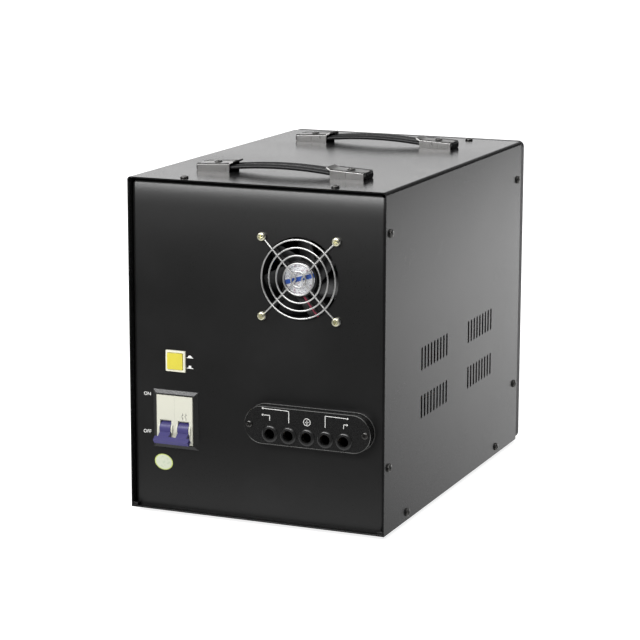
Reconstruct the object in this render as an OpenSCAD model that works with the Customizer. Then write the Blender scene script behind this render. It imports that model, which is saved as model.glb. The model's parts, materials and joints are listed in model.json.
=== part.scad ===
// Automatic voltage stabilizer in a folded steel case. The service panel, with its fan,
// breaker, delay button and cable entries, faces -Y. The display panel with two meters faces +Y.
// A motor turns a brush over a toroidal winding inside. Lengths are in millimetres and Z is up.

/* [Case] */
// Width of the folded cover
case_w = 250; // [244:1:262]
// Height of the folded cover
case_h = 308; // [300:1:324]
// Depth of the folded cover
case_d = 376; // [370:1:392]
// Sheet thickness of the cover
cover_t = 1.2; // [1:0.1:1.6]
// Outer radius of the cover's two top bends
cover_r = 3; // [2.5:0.5:5]
// Distance of both panels behind the cover's edges
recess = 5; // [4:0.5:6]

/* [Folded panels] */
// Sheet thickness of the service and display panels
panel_t = 1.2; // [1:0.1:1.6]
// Outer bend radius of the panels
panel_r = 4; // [3:0.5:5]
// Depth of the panels' flanges
flange_d = 18; // [16:1:22]
// Sheet thickness of the base
base_t = 1.5; // [1.2:0.1:2]
// Height of the base's flanges
base_flange = 14; // [12:1:18]

/* [Side vents] */
// Width of one slot
slot_w = 4; // [3:0.5:5]
// Height of one slot
slot_h = 21.8; // [18:0.2:26]
// Distance from slot to slot
slot_pitch = 8.35; // [8:0.05:8.8]
// Slots in one group
slot_count = 9; // [5:1:10]
// Middles of both groups as shares of the cover's depth
group_shares = [0.337, 0.679];
// Height of the lower row's middle
vent_z = 97.8; // [90:0.2:105]
// Distance from row to row
vent_rise = 44.9; // [40:0.1:50]

/* [Handles] */
// Length of a handle over both caps
handle_len = 163.5; // [160:0.5:180]
// Middle of the handles across the case
handle_x = -2; // [-4:0.5:4]
// Middle of the near handle behind the cover's service edge
near_handle_in = 71; // [60:1:80]
// Middle of the far handle in front of the cover's display edge
far_handle_in = 75; // [60:1:90]
// Width of the strap
strap_w = 20; // [18:0.5:24]
// Thickness of the strap between its beads
strap_t = 3.4; // [3:0.2:3.8]
// Height of the strap's two edge beads
bead_h = 0.9; // [0.5:0.1:1]
// Width of the strap's edge beads
bead_w = 3.4; // [2.5:0.1:4]
// Rise of the strap's middle
strap_bow = 6; // [5:0.5:9]
// Play of the strap in its caps, each way
strap_play = 3; // [2:0.5:4]
// Length of an end cap
cap_len = 32; // [30:1:36]
// Sheet thickness of an end cap
cap_t = 1; // [0.8:0.1:1.2]
// Height of a cap at its outer end
cap_low = 6.4; // [6.2:0.1:7]
// Height of a cap at its inner end
cap_high = 8.2; // [7.6:0.1:10]
// Length of the flared lip over the strap
lip_len = 4; // [3:0.5:6]
// Upward angle of the lip
lip_angle = 26; // [15:1:35]

/* [Fan] */
// Fan middle inside the case's right side
fan_in = 83.6; // [78:0.2:90]
// Fan middle below the cover's top
fan_drop = 82.4; // [76:0.2:88]
// Side of the fan frame
fan_size = 80; // [79:0.5:82]
// Depth of the fan frame
fan_d = 25; // [22:0.5:30]
// Distance of the fan's screws
fan_pitch = 71.5; // [71:0.1:72.5]
// Radius of the air duct
duct_r = 37.6; // [36:0.2:38]
// Radius of the rotor's hub
rotor_r = 16.5; // [15:0.5:18]
// Number of blades
blades = 7; // [5:1:9]
// Thickness of the square flanges
fan_flange = 4; // [3:0.5:5]
// Opening in the panel in front of the fan
fan_open_r = 37.4; // [36:0.2:38]
// Wire diameter of the finger guard
wire_d = 1.8; // [1.4:0.1:2]
// Radius of the guard's outermost ring
guard_r = 35.4; // [34:0.2:36]
// Number of guard rings
guard_rings = 5; // [4:1:6]
// Stand-off of the guard's rings from the panel
guard_rise = 2.5; // [2.2:0.1:2.7]

/* [Breaker] */
// Breaker middle inside the case's left side
breaker_in = 44; // [42:0.2:49]
// Breaker middle above the cover's lower edge
breaker_z = 86; // [82:0.5:90]
// Width of the two poles
breaker_w = 36; // [35.5:0.1:36.4]
// Height of the breaker's nose
nose_h = 45; // [44:0.2:46]
// Height of the breaker's body
breaker_h = 80; // [78:1:86]
// Depth of the nose in front of the shoulders
nose_d = 16; // [14:0.5:18]
// Depth of the body behind the shoulders
breaker_d = 50; // [46:1:54]
// Distance of the nose in front of the panel
nose_out = 3; // [2:0.5:4]
// Margin of the raised frame round the nose
frame_margin = 4.6; // [3:0.2:5]
// Height of the raised frame
frame_rise = 2; // [1.5:0.1:2.4]
// Width of one lever
lever_w = 10.8; // [10:0.2:11.4]
// Thickness of one lever
lever_t = 4.6; // [4.2:0.2:5.4]
// Radius of the lever's drum
drum_r = 7.2; // [7:0.1:7.4]
// Radius of the raised face on the drum
drum_face_r = 8; // [7.8:0.1:8.6]
// Depth of the pivot behind the nose
pivot_d = 6; // [5.6:0.1:6.4]
// Pivot below the breaker's middle
pivot_drop = 9; // [7:0.1:9.4]
// Reach of the tie bar from the pivot
bar_reach = 17.8; // [16.8:0.1:19]
// Width of the tie bar, radially
bar_d = 5; // [4.6:0.2:6]
// Angle of the levers below and above the level
lever_angle = 37; // [30:1:38]

/* [Delay button] */
// Button middle inside the case's left side
delay_in = 44.7; // [42:0.2:49]
// Button middle above the cover's lower edge
delay_z = 140.8; // [138:0.2:148]
// Side of the square bezel
bezel_w = 19.7; // [19:0.1:21]
// Thickness of the bezel
bezel_t = 2; // [1.5:0.1:2.6]
// Side of the square button
button_w = 14.6; // [13.6:0.1:15]
// Height of the button above its bezel
button_out = 1.6; // [1.2:0.1:3]
// Travel of the button
button_travel = 3; // [2:0.5:3.5]

/* [Cable entries] */
// Middle of the terminal cover inside the case's right side
entry_in = 71.8; // [68:0.2:76]
// Middle of the terminal cover above the cover's lower edge
entry_z = 92.3; // [90:0.2:96]
// Length of the terminal cover
entry_w = 120; // [118:1:124]
// Height of the terminal cover
entry_h = 33; // [32:0.5:36]
// Depth of the terminal cover
entry_d = 11; // [9:0.5:13]
// Wall of the terminal cover
entry_t = 2; // [1.6:0.1:2.2]
// Number of cable entries
entries = 5; // [3:1:5]
// Distance from entry to entry
entry_pitch = 17.8; // [17.2:0.1:18.2]
// Entries below the cover's middle
entry_drop = 7.3; // [6.6:0.1:7.5]
// Radius of a cable bore
cable_r = 4.8; // [4:0.1:5.2]
// Radius of a grommet's front flange
grommet_r = 7.9; // [7.2:0.1:8.2]
// Thickness of a grommet's front flange
grommet_out = 1.5; // [1:0.1:2]
// Distance of the terminal cover's screws
entry_screws = 111.6; // [110:0.2:112.4]

/* [Display side] */
// Depth of the moulded fascia outside the cover
fascia_d = 9; // [8:0.5:11]
// Corner radius of the fascia
fascia_r = 6; // [5:0.5:12]
// Wall of the fascia
fascia_t = 2.5; // [2:0.1:3]
// Width of the fascia's rim
rim_w = 12; // [10:0.5:14]
// Depth of the face behind the rim
rim_d = 1.5; // [1:0.1:2]
// Width of a meter
meter_w = 80; // [76:1:84]
// Height of a meter
meter_h = 66; // [62:1:70]
// Distance from meter to meter
meter_pitch = 96; // [90:1:102]
// Meter middles below the cover's top
meter_drop = 92; // [84:1:100]
// Radius of a meter's rear barrel
barrel_r = 26; // [22:1:28]
// Length of a meter's rear barrel
barrel_d = 28; // [24:1:32]
// Length of a needle from its pivot
needle_len = 41; // [36:1:43]
// Sweep of a needle
needle_sweep = 90; // [70:5:90]
// Indicator lamps
lamps = 3; // [1:1:5]
// Distance from lamp to lamp
lamp_pitch = 32; // [26:1:36]
// Lamps below the meters' middles
lamp_drop = 58; // [50:1:64]
// Radius of a lamp lens
lamp_r = 4; // [3:0.5:5]

/* [Regulator] */
// Room between the transformer's feet and the winding
front_room = 18.5; // [16:0.5:24]
// Room between the winding and the display panel
back_room = 19.8; // [18:0.2:24]
// Room at the winding's sides for the bridge and its feet
side_room = 28.5; // [28:0.5:36]
// Inner radius of the winding as a share of its outer radius
bore_share = 0.36; // [0.34:0.01:0.4]
// Height of the winding
wind_h = 74; // [66:1:80]
// Thickness of the winding round the core
wind_t = 7; // [5:0.5:8]
// Thickness of the pad below the winding
pad_t = 3; // [2:0.5:4]
// Radius of the threaded stud
stud_r = 5; // [4:0.5:6]
// Brush track inside the winding's outer edge
track_in = 23; // [20:1:26]
// Thickness of the brush arm
arm_t = 4; // [3:0.5:5]
// Width of the brush arm
arm_w = 15; // [12:1:18]
// Radius of the output shaft
shaft_r = 4; // [3:0.5:5]
// Turn of the brush arm each way
arm_turn = 160; // [120:5:165]
// Distance of the bridge's legs outside the winding
bridge_out = 11; // [9:0.5:12]
// Width of the bridge
bridge_w = 50; // [44:1:60]
// Sheet thickness of the bridge
bridge_t = 2; // [1.5:0.5:2.5]
// Room under the bridge for the brush arm
bridge_room = 44; // [40:1:50]
// Radius of the gearbox
gear_r = 30; // [26:1:32]
// Height of the gearbox
gear_h = 25; // [20:1:28]
// Radius of the motor
motor_r = 26; // [22:1:28]
// Height of the motor
motor_h = 32; // [26:1:34]

/* [Transformer] */
// Transformer middle inside the case's right side
trafo_in = 90; // [84:1:94]
// Transformer middle, measured from the cover's service edge
trafo_y = 106; // [100:1:110]
// Width of the laminated core
core_w = 96; // [90:3:102]
// Depth of the laminated stack
core_d = 45; // [40:1:50]
// Sheet thickness of the foot angles
angle_t = 2; // [1.5:0.5:3]

/* [Control board] */
// Width of the board
board_w = 150; // [140:1:160]
// Thickness of the board
board_t = 1.6; // [1.2:0.2:2]
// Room between the winding's top and the board
board_low_room = 24.5; // [24:0.5:30]
// Room between the board and the meters' barrels
board_top_room = 8; // [6:0.5:12]
// Height of the tallest part on the board
part_tall = 20; // [12:1:21]
// Length of the board's spacers
spacer_d = 8; // [6:1:9]

/* [Fasteners and feet] */
// Shank radius of the case screws
screw_r = 1.95; // [1.8:0.05:2]
// Head radius of the case screws
head_r = 3.8; // [3.4:0.1:4.2]
// Head height of the case screws
head_h = 2.1; // [1.6:0.1:2.6]
// Length of the case screws
screw_l = 7; // [6:0.5:9]
// Case screws behind a panel's face
screw_in = 5.7; // [5.6:0.1:7]
// Top screws inside the case's left and right sides
top_screw_in = [52, 52];
// Lower side screws above the cover's lower edge
side_screw_low = 61; // [50:1:80]
// Upper side screws below the cover's top
side_screw_drop = 37; // [30:1:50]
// Base screws inside the cover's service and display edges
base_screw_in = [58, 65];
// Base screws above the cover's lower edge
base_screw_z = 7.6; // [7:0.1:8]
// Height of the rubber feet
foot_h = 4; // [3.5:0.5:6]
// Radius of the rubber feet
foot_r = 11; // [9:0.5:13]
// Feet inside the case's sides
foot_in_x = 42; // [36:1:50]
// Feet inside the case's ends
foot_in_y = 48; // [44:1:60]

/* [Hidden] */
$fn = 64;

// Clearances: slip between sheet pieces, running fit of a shaft, and overrun of every cut
fit = 0.3;
run = 0.05;
over = 1;

// Case
inner_w = case_w - 2 * cover_t - 2 * fit;
panel_h = case_h - cover_t - fit;
display_y = case_d - recess;
panel_back = recess + panel_t;
display_back = display_y - panel_t;
screw_hole_r = screw_r + run;
cover_hole_r = screw_r + fit;
near_screw_y = recess + screw_in;
far_screw_y = display_y - screw_in;
total_d = case_d + fascia_d;
handle_y = [near_handle_in, case_d - far_handle_in];
top_screw_x = [top_screw_in[0] - case_w / 2, case_w / 2 - top_screw_in[1]];
side_screw_z = [side_screw_low, case_h - side_screw_drop];
base_screw_y = [base_screw_in[0], case_d - base_screw_in[1]];
fan_x = case_w / 2 - fan_in;
fan_z = case_h - fan_drop;
delay_x = delay_in - case_w / 2;
entry_x = case_w / 2 - entry_in;
meter_z = case_h - meter_drop;
lamp_z = meter_z - lamp_drop;

// Breaker
breaker_x = breaker_in - case_w / 2;
nose_y = recess - nose_out;
pivot_y = nose_y + pivot_d;
pivot_z = breaker_z - pivot_drop;
bar_t = lever_t;
bar_in = 0.5;
bar_w = breaker_w - 2 * bar_in;
pole_pitch = breaker_w / 2;
pin_r = 1.5;
pocket_r = drum_face_r + fit;
pocket_w = lever_w + 2 * fit;
shoulder_y = nose_y + nose_d;
breaker_back = shoulder_y + breaker_d;
lever_front = bar_reach * cos(lever_angle) + bar_t / 2 * sin(lever_angle) - pivot_y;
tip_w = lever_w - lever_t / 2;
tip_d = bar_d / 2;
drum_face_angle = 70;
cheek_t = 1.6;
cheek_r = drum_face_r - fit;

// Terminal cover
entry_front = recess - entry_d;
grommet_z = entry_z - entry_drop;
grommet_front = entry_front - grommet_out;
near_reach = max(lever_front, -grommet_front);
near_shift = -(total_d - near_reach) / 2;

// Values with no range: sizes of hidden or small details, each carried by its named piece
corner_r = 5;
strut_w = 4.6;
strut_t = 3;
hub_gap = 1.2;
rotor_wall = 1.4;
fan_shaft_r = 1.55;
bearing_wall = 2.4;
blade_t = 1.3;
blade_curve_r = 24;
blade_pitch = 38;
tip_gap = 0.9;
apex_gap = 2.4;
knot_share = 0.57;
rail_h = 35;
rail_d = 7.5;
rail_t = 1;
rail_lip = 5;
rail_over = 12;
post_r = 3;
groove_d = 5;
clamp_screw_r = 3.2;
clamp_screw_d = 6;
switch_wall = 1.5;
switch_d = 22;
cap_d = 11.5;
stem_r = 2;
stem_l = 10.4;
block_h = 28;
block_d = 21;
block_wall = 2;
block_screw_r = 4;
window_h = 20;
inner_flange_r = 6.9;
inner_flange_t = 1.1;
sleeve_r = 5.8;
lip_round = 0.8;
entry_screw_r = 1.75;
entry_head_r = 3.1;
boss_r = 3.6;
meter_d = fascia_d + recess - 0.8 * rim_d;
meter_t = 2;
dial_t = 1;
hood_share = 0.32;
needle_w = 1.1;
needle_t = 0.7;
needle_hub_r = 3;
needle_hub_t = 2.2;
needle_tail = 8;
needle_pin_r = 0.7;
window_t = 1.5;
pin_share = 0.3;
dome_share = 0.3;
lead_r = 1;
fascia_boss_r = 4;
fascia_boss_in = 18;
section_r = 5;
disc_out = 12;
nut_r = 8.6;
nut_h = 8;
arm_lift = 16;
hub_r = 9;
hub_h = 12;
brush_w = 6;
brush_l = 12;
holder_t = 2;
holder_h = 9;
arm_tail = 32;
bridge_foot = 11;
motor_cap_h = 5;
terminal_r = 2.5;
limb_share = 1 / 6;
coil_out = 11;
coil_r = 4;
angle_leg = 13;
relay_w = 42;
relay_d = 48;
relay_h = 46;
relay_in = 37;
relay_y = 118;
spacer_r = 3;
spacer_in = 6;
washer_r = 4.2;

// Places every piece of the case in the part's frame
module place() {
    translate([0, near_shift, foot_h]) children();
}

// Extrudes an outline drawn in X and Z towards +Y
module along_y(len) {
    rotate([90, 0, 0]) mirror([0, 0, 1]) linear_extrude(len) children();
}

// Extrudes an outline drawn in Y and Z towards +X
module along_x(len) {
    rotate([90, 0, 90]) linear_extrude(len) children();
}

// Turns a piece drawn towards +Z so that it faces +Y, seen from the display side
module to_display() {
    rotate([90, 0, 180]) children();
}

// Rectangle with four round corners about the origin
module rounded_rect(w, h, r) {
    square([w - 2 * r, h], center = true);
    square([w, h - 2 * r], center = true);
    for (x = [-1, 1], y = [-1, 1])
        translate([x * (w / 2 - r), y * (h / 2 - r)]) circle(r);
}

// Slot with round ends, standing on Z
module upright_slot(w, h) {
    square([w, h - w], center = true);
    for (s = [-1, 1]) translate([0, s * (h - w) / 2]) circle(w / 2);
}

// Stadium lying along X
module stadium(w, h) {
    square([w - h, h], center = true);
    for (s = [-1, 1]) translate([s * (w - h) / 2, 0]) circle(h / 2);
}

// Rectangle from the origin with its first corner rounded
module one_round(a, b, r) {
    translate([r, 0]) square([a - r, b]);
    translate([0, r]) square([a, b - r]);
    translate([r, r]) circle(r);
}

// Bent sheet section: one leg along x, one along y
module angle_section(leg, flange, t, r) {
    difference() {
        one_round(leg, flange, r);
        translate([t, t]) one_round(leg, flange, r - t);
    }
}

// Sheet plate about the origin with flanges bent up: f holds the left, right, low and high
// flanges, and trim the lengths left off both ends of the left and right flanges
module folded_tray(w, h, t, r, f, trim) {
    x0 = f[0] > 0 ? r : 0;
    x1 = f[1] > 0 ? r : 0;
    y0 = f[2] > 0 ? r : 0;
    y1 = f[3] > 0 ? r : 0;
    leg = 2 * r;
    translate([-w / 2 + x0, -h / 2 + y0, 0]) cube([w - x0 - x1, h - y0 - y1, t]);
    for (s = [0, 1]) if (f[s] > 0) mirror([s, 0, 0])
        translate([-w / 2, -h / 2 + max(y0, trim[0]), 0])
            along_y(h - max(y0, trim[0]) - max(y1, trim[1])) angle_section(leg, f[s], t, r);
    for (s = [0, 1]) if (f[2 + s] > 0) mirror([0, s, 0])
        translate([-w / 2 + r, -h / 2, 0]) along_x(w - 2 * r) angle_section(leg, f[2 + s], t, r);
}

// Pan screw: head above z = 0 and shank below
module pan_screw(r, l, hr, hh) {
    rotate_extrude() polygon([[0, -l], [r, -l], [r, 0], [hr, 0], [hr, hh / 2],
        [hr * 2 / 3, hh], [0, hh]]);
}

// Four-sided frustum with its large base on z = 0, made of two crossed wedges
module frustum(w, h, slope, d) {
    intersection() {
        translate([0, h / 2, 0]) rotate([90, 0, 0]) linear_extrude(h)
            polygon([[-w / 2, 0], [w / 2, 0], [w / 2 - slope, d], [-w / 2 + slope, d]]);
        translate([-w / 2, 0, 0]) rotate([90, 0, 90]) linear_extrude(w)
            polygon([[-h / 2, 0], [h / 2, 0], [h / 2 - slope, d], [-h / 2 + slope, d]]);
    }
}

// Places of the case screws, each as a position and a turn of a screw that stands on +Z
top_places = [for (x = top_screw_x, y = [near_screw_y, far_screw_y]) [x, y, case_h]];
side_places = concat(
    [for (y = [near_screw_y, far_screw_y], z = side_screw_z) [case_w / 2, y, z]],
    [for (y = base_screw_y) [case_w / 2, y, base_screw_z]]);

module case_holes(r, l) {
    for (p = top_places) translate([p[0], p[1], p[2] - l]) cylinder(r = r, h = l + over);
    for (p = side_places, s = [0, 1]) mirror([s, 0, 0])
        translate([p[0] - l, p[1], p[2]]) rotate([0, 90, 0]) cylinder(r = r, h = l + over);
}

// Case
module cover() {
    color([0.16, 0.16, 0.17]) place() difference() {
        translate([0, 0, 0]) along_y(case_d) difference() {
            translate([0, case_h / 2]) arch(case_w, case_h, cover_r);
            translate([0, case_h / 2 - cover_t]) arch(case_w - 2 * cover_t, case_h, cover_r - cover_t);
        }
        for (row = [0, 1], share = group_shares, i = [0 : slot_count - 1])
            translate([-case_w / 2 - over,
                share * case_d + (i - (slot_count - 1) / 2) * slot_pitch,
                vent_z + row * vent_rise]) along_x(case_w + 2 * over) upright_slot(slot_w, slot_h);
        case_holes(cover_hole_r, screw_l);
        for (y = handle_y, s = [-1, 1])
            translate([handle_x + s * (handle_len - cap_len) / 2, y, case_h - screw_l])
                cylinder(r = screw_hole_r, h = screw_l + over);
    }
}

// Rectangle about the origin with its two upper corners rounded
module arch(w, h, r) {
    square([w - 2 * r, h], center = true);
    translate([-w / 2, -h / 2]) square([w, h - r]);
    for (s = [-1, 1]) translate([s * (w / 2 - r), h / 2 - r]) circle(r);
}

module service_panel() {
    color([0.13, 0.13, 0.14]) place() difference() {
        translate([0, recess, panel_h / 2]) mirror([0, 1, 0]) rotate([90, 0, 0])
            folded_tray(inner_w, panel_h, panel_t, panel_r, [flange_d, flange_d, 0, flange_d],
                [base_t + fit, panel_r]);
        case_holes(screw_hole_r, flange_d);
        translate([fan_x, -over, fan_z]) along_y(flange_d) {
            circle(fan_open_r);
            for (x = [-1, 1], z = [-1, 1]) translate([x * fan_pitch / 2, z * fan_pitch / 2])
                circle(screw_hole_r);
        }
        translate([breaker_x, -over, breaker_z]) along_y(flange_d)
            square([breaker_w + 2 * fit, nose_h + 2 * fit], center = true);
        translate([delay_x, -over, delay_z]) along_y(flange_d)
            square(button_w + 2 * fit, center = true);
        translate([entry_x, -over, grommet_z]) along_y(flange_d)
            square([entries * entry_pitch, window_h], center = true);
        for (s = [-1, 1]) translate([entry_x + s * entry_screws / 2, -over, entry_z])
            along_y(flange_d) circle(entry_screw_r + run);
    }
}

module base_tray() {
    inside = flange_d - panel_t + fit;
    color([0.13, 0.13, 0.14]) place() difference() {
        translate([0, (panel_back + display_back) / 2, 0])
            folded_tray(inner_w, display_back - panel_back, base_t, panel_r + fit,
                [base_flange, base_flange, base_flange, base_flange], [inside, inside]);
        case_holes(screw_hole_r, flange_d);
        for (p = foot_places) translate([p[0], p[1], -over]) cylinder(r = screw_hole_r, h = panel_r);
    }
}

module display_panel() {
    color([0.13, 0.13, 0.14]) place() difference() {
        translate([0, display_y, panel_h / 2]) rotate([90, 0, 0])
            folded_tray(inner_w, panel_h, panel_t, panel_r, [flange_d, flange_d, 0, flange_d],
                [base_t + fit, panel_r]);
        case_holes(screw_hole_r, flange_d);
        for (s = [-1, 1]) translate([s * meter_pitch / 2, display_y - flange_d / 2, meter_z])
            along_y(flange_d) circle(barrel_r + fit);
        for (i = [0 : lamps - 1]) translate([lamp_at(i), display_y - flange_d / 2, lamp_z])
            along_y(flange_d) circle(lamp_r / 2);
    }
}

function lamp_at(i) = (i - (lamps - 1) / 2) * lamp_pitch;

// Moulded frame over the display side: rim, recessed face, spigot inside the cover, four bosses
module display_fascia() {
    face_in = recess + fascia_d - rim_d - fascia_t;
    color([0.12, 0.12, 0.13]) place() translate([0, display_y, case_h / 2]) to_display() {
        difference() {
            union() {
                translate([0, 0, recess]) linear_extrude(fascia_d)
                    rounded_rect(case_w, case_h, fascia_r);
                translate([0, -(case_h - panel_h) / 2, 0]) linear_extrude(recess + fascia_t)
                    rounded_rect(inner_w, panel_h, cover_r);
            }
            translate([0, 0, -over]) linear_extrude(face_in + over)
                rounded_rect(inner_w - 2 * fascia_t, panel_h - 3 * fascia_t, fascia_r - fascia_t);
            translate([0, 0, recess + fascia_d - rim_d]) linear_extrude(fascia_d)
                rounded_rect(case_w - 2 * rim_w, case_h - 2 * rim_w, fascia_r - fascia_t);
            for (s = [-1, 1]) translate([s * meter_pitch / 2, meter_z - case_h / 2, 0])
                linear_extrude(total_d) square([meter_w + 2 * fit, meter_h + 2 * fit], center = true);
            for (i = [0 : lamps - 1]) translate([lamp_at(i), lamp_z - case_h / 2, 0])
                cylinder(r = lamp_r + run, h = total_d);
        }
        for (x = [-1, 1], y = [-1, 1])
            translate([x * (case_w / 2 - fascia_boss_in), y * (case_h / 2 - fascia_boss_in), 0])
                cylinder(r = fascia_boss_r, h = face_in + fascia_t / 2);
    }
}

foot_places = [for (x = [-1, 1], y = [foot_in_y, case_d - foot_in_y])
    [x * (case_w / 2 - foot_in_x), y]];

module rubber_feet() {
    color([0.06, 0.06, 0.06]) place() for (p = foot_places) translate([p[0], p[1], -foot_h])
        rotate_extrude() polygon([[head_r + fit, 0], [foot_r - foot_h / 4, 0], [foot_r, foot_h / 4],
            [foot_r, foot_h], [screw_r + fit, foot_h], [screw_r + fit, foot_h - cap_t],
            [head_r + fit, foot_h - cap_t]]);
}

module foot_screws() {
    color([0.6, 0.6, 0.6]) place() for (p = foot_places) translate([p[0], p[1], -cap_t])
        rotate([180, 0, 0]) pan_screw(screw_r, screw_l, head_r, head_h);
}

module cover_screws() {
    color([0.1, 0.1, 0.1]) place() {
        for (p = top_places) translate(p) pan_screw(screw_r, screw_l, head_r, head_h);
        for (p = side_places, s = [0, 1]) mirror([s, 0, 0])
            translate(p) rotate([0, 90, 0]) pan_screw(screw_r, screw_l, head_r, head_h);
    }
}

// Handles: the strap's side view slopes as the caps' roofs do and is a low parabola between them
strap_steps = 24;
free_half = handle_len / 2 - cap_len;
strap_half = handle_len / 2 - strap_play;
strap_lift = (cap_high - cap_low) * (strap_half - free_half) / cap_len;
function strap_rise(x) = abs(x) >= free_half
    ? strap_lift * (strap_half - abs(x)) / (strap_half - free_half)
    : strap_lift + (strap_bow - strap_lift) * (1 - pow(x / free_half, 2));
free_x = [for (i = [0 : strap_steps]) -free_half + 2 * free_half * i / strap_steps];
strap_x = concat([-strap_half], free_x, [strap_half]);

module strap_side(low, high) {
    n = len(strap_x);
    polygon(concat([for (x = strap_x) [x, low + strap_rise(x)]],
        [for (i = [0 : n - 1]) [strap_x[n - 1 - i], high + strap_rise(strap_x[n - 1 - i])]]));
}

module strap(y) {
    color([0.09, 0.09, 0.09]) place() translate([handle_x, y, case_h + fit]) difference() {
        union() {
            translate([0, -strap_w / 2, 0]) along_y(strap_w) strap_side(0, strap_t);
            for (s = [-1, 1]) translate([0, s * (strap_w - bead_w) / 2 - bead_w / 2, 0])
                along_y(bead_w) strap_side(strap_t / 2, strap_t + bead_h);
        }
        for (s = [-1, 1]) translate([s * (handle_len - cap_len) / 2, 0, -over])
            linear_extrude(strap_w)
                stadium(2 * (strap_play + cover_hole_r + fit), 2 * (cover_hole_r + fit));
    }
}

module near_strap() { strap(handle_y[0]); }

module far_strap() { strap(handle_y[1]); }

// End cap: bent channel, taller at its inner end, with a lip flared up over the strap
module handle_cap() {
    cap_w = strap_w + 2 * (cap_t + fit);
    slope = (cap_high - cap_low) / cap_len;
    lip_x = lip_len * cos(lip_angle);
    lip_z = lip_len * sin(lip_angle);
    difference() {
        translate([0, -cap_w / 2, 0]) along_y(cap_w) polygon([[0, 0], [cap_len, 0],
            [cap_len, cap_high - cap_t], [cap_len + lip_x, cap_high - cap_t + lip_z],
            [cap_len + lip_x, cap_high + lip_z], [cap_len, cap_high], [0, cap_low]]);
        translate([0, -cap_w / 2 + cap_t, 0]) along_y(cap_w - 2 * cap_t)
            polygon([[-over, -over], [cap_len + over, -over],
                [cap_len + over, cap_high - cap_t + slope * over],
                [cap_len, cap_high - cap_t], [-over, cap_low - cap_t - slope * over]]);
        translate([cap_len / 2, 0, 0]) cylinder(r = cover_hole_r, h = cap_high + over);
    }
}

module handle_caps(y) {
    color([0.55, 0.55, 0.55]) place() translate([handle_x, y, case_h]) for (s = [0, 1])
        mirror([s, 0, 0]) translate([-handle_len / 2, 0, 0]) handle_cap();
}

module near_handle_caps() { handle_caps(handle_y[0]); }

module far_handle_caps() { handle_caps(handle_y[1]); }

// Upright screws: each head bears on the rising side of its cap's sloped top
module handle_screws() {
    slope = (cap_high - cap_low) / cap_len;
    seat = (cap_low + cap_high) / 2 + head_r * slope + run;
    color([0.2, 0.2, 0.2]) place() for (y = handle_y, s = [-1, 1])
        translate([handle_x + s * (handle_len - cap_len) / 2, y, case_h + seat])
            pan_screw(screw_r, seat + screw_l / 2, head_r, head_h);
}

// Fan
module fan_places() {
    for (x = [-1, 1], z = [-1, 1]) translate([x * fan_pitch / 2, z * fan_pitch / 2]) children();
}

module fan_frame() {
    color([0.1, 0.1, 0.1]) place() translate([fan_x, panel_back, fan_z]) {
        difference() {
            union() {
                for (y = [0, fan_d - fan_flange]) translate([0, y, 0]) along_y(fan_flange)
                    rounded_rect(fan_size, fan_size, corner_r);
                translate([0, fan_flange / 2, 0]) along_y(fan_d - fan_flange)
                    circle(fan_size / 2 - 2 * fit);
            }
            translate([0, -over, 0]) along_y(fan_d + 2 * over) {
                circle(duct_r);
                fan_places() circle(screw_hole_r);
            }
        }
        for (a = [45 : 90 : 315]) rotate([0, a, 0]) translate([rotor_r / 2, 0, -strut_w / 2])
            cube([duct_r + fit - rotor_r / 2, strut_t, strut_w]);
        along_y(strut_t + fit) circle(rotor_r - fit);
        translate([0, strut_t, 0]) along_y(fan_d / 2) difference() {
            circle(fan_shaft_r + run + bearing_wall);
            circle(fan_shaft_r + run);
        }
    }
}

// One cambered blade, cut from a thin tube that lies along the radius
module fan_blade(len) {
    intersection() {
        along_y(len) difference() {
            circle(duct_r - tip_gap);
            circle(rotor_r - rotor_wall / 2);
        }
        translate([0, len / 2, 0]) rotate([blade_pitch, 0, 0]) intersection() {
            translate([0, 0, -blade_curve_r]) rotate([0, 90, 0]) difference() {
                cylinder(r = blade_curve_r + blade_t / 2, h = duct_r);
                translate([0, 0, -over])
                    cylinder(r = blade_curve_r - blade_t / 2, h = duct_r + 2 * over);
            }
            translate([rotor_r / 2, -rotor_r, -blade_curve_r / 2]) cube([duct_r, 2 * rotor_r, blade_curve_r]);
        }
    }
}

module fan_rotor() {
    cup_y = strut_t + hub_gap;
    cup_d = fan_d - strut_t - 2 * hub_gap;
    color([0.14, 0.14, 0.14]) place() translate([fan_x, panel_back, fan_z]) {
        translate([0, cup_y, 0]) difference() {
            along_y(cup_d) circle(rotor_r);
            translate([0, -over, 0]) along_y(cup_d - rotor_wall + over) circle(rotor_r - rotor_wall);
        }
        translate([0, strut_t + fit, 0]) along_y(fan_d - strut_t - hub_gap - rotor_wall) circle(fan_shaft_r);
        for (i = [0 : blades - 1]) rotate([0, i * 360 / blades, 0])
            translate([0, cup_y + rotor_wall / 2, 0]) fan_blade(cup_d - rotor_wall);
    }
}

// Finger guard: rings, two bent cross wires whose bends nearly meet, and four eyelets
module wire(a, b) {
    d = b - a;
    l = norm(d);
    translate(a) rotate([0, acos(d[2] / l), atan2(d[1], d[0])]) cylinder(d = wire_d, h = l);
}

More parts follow.
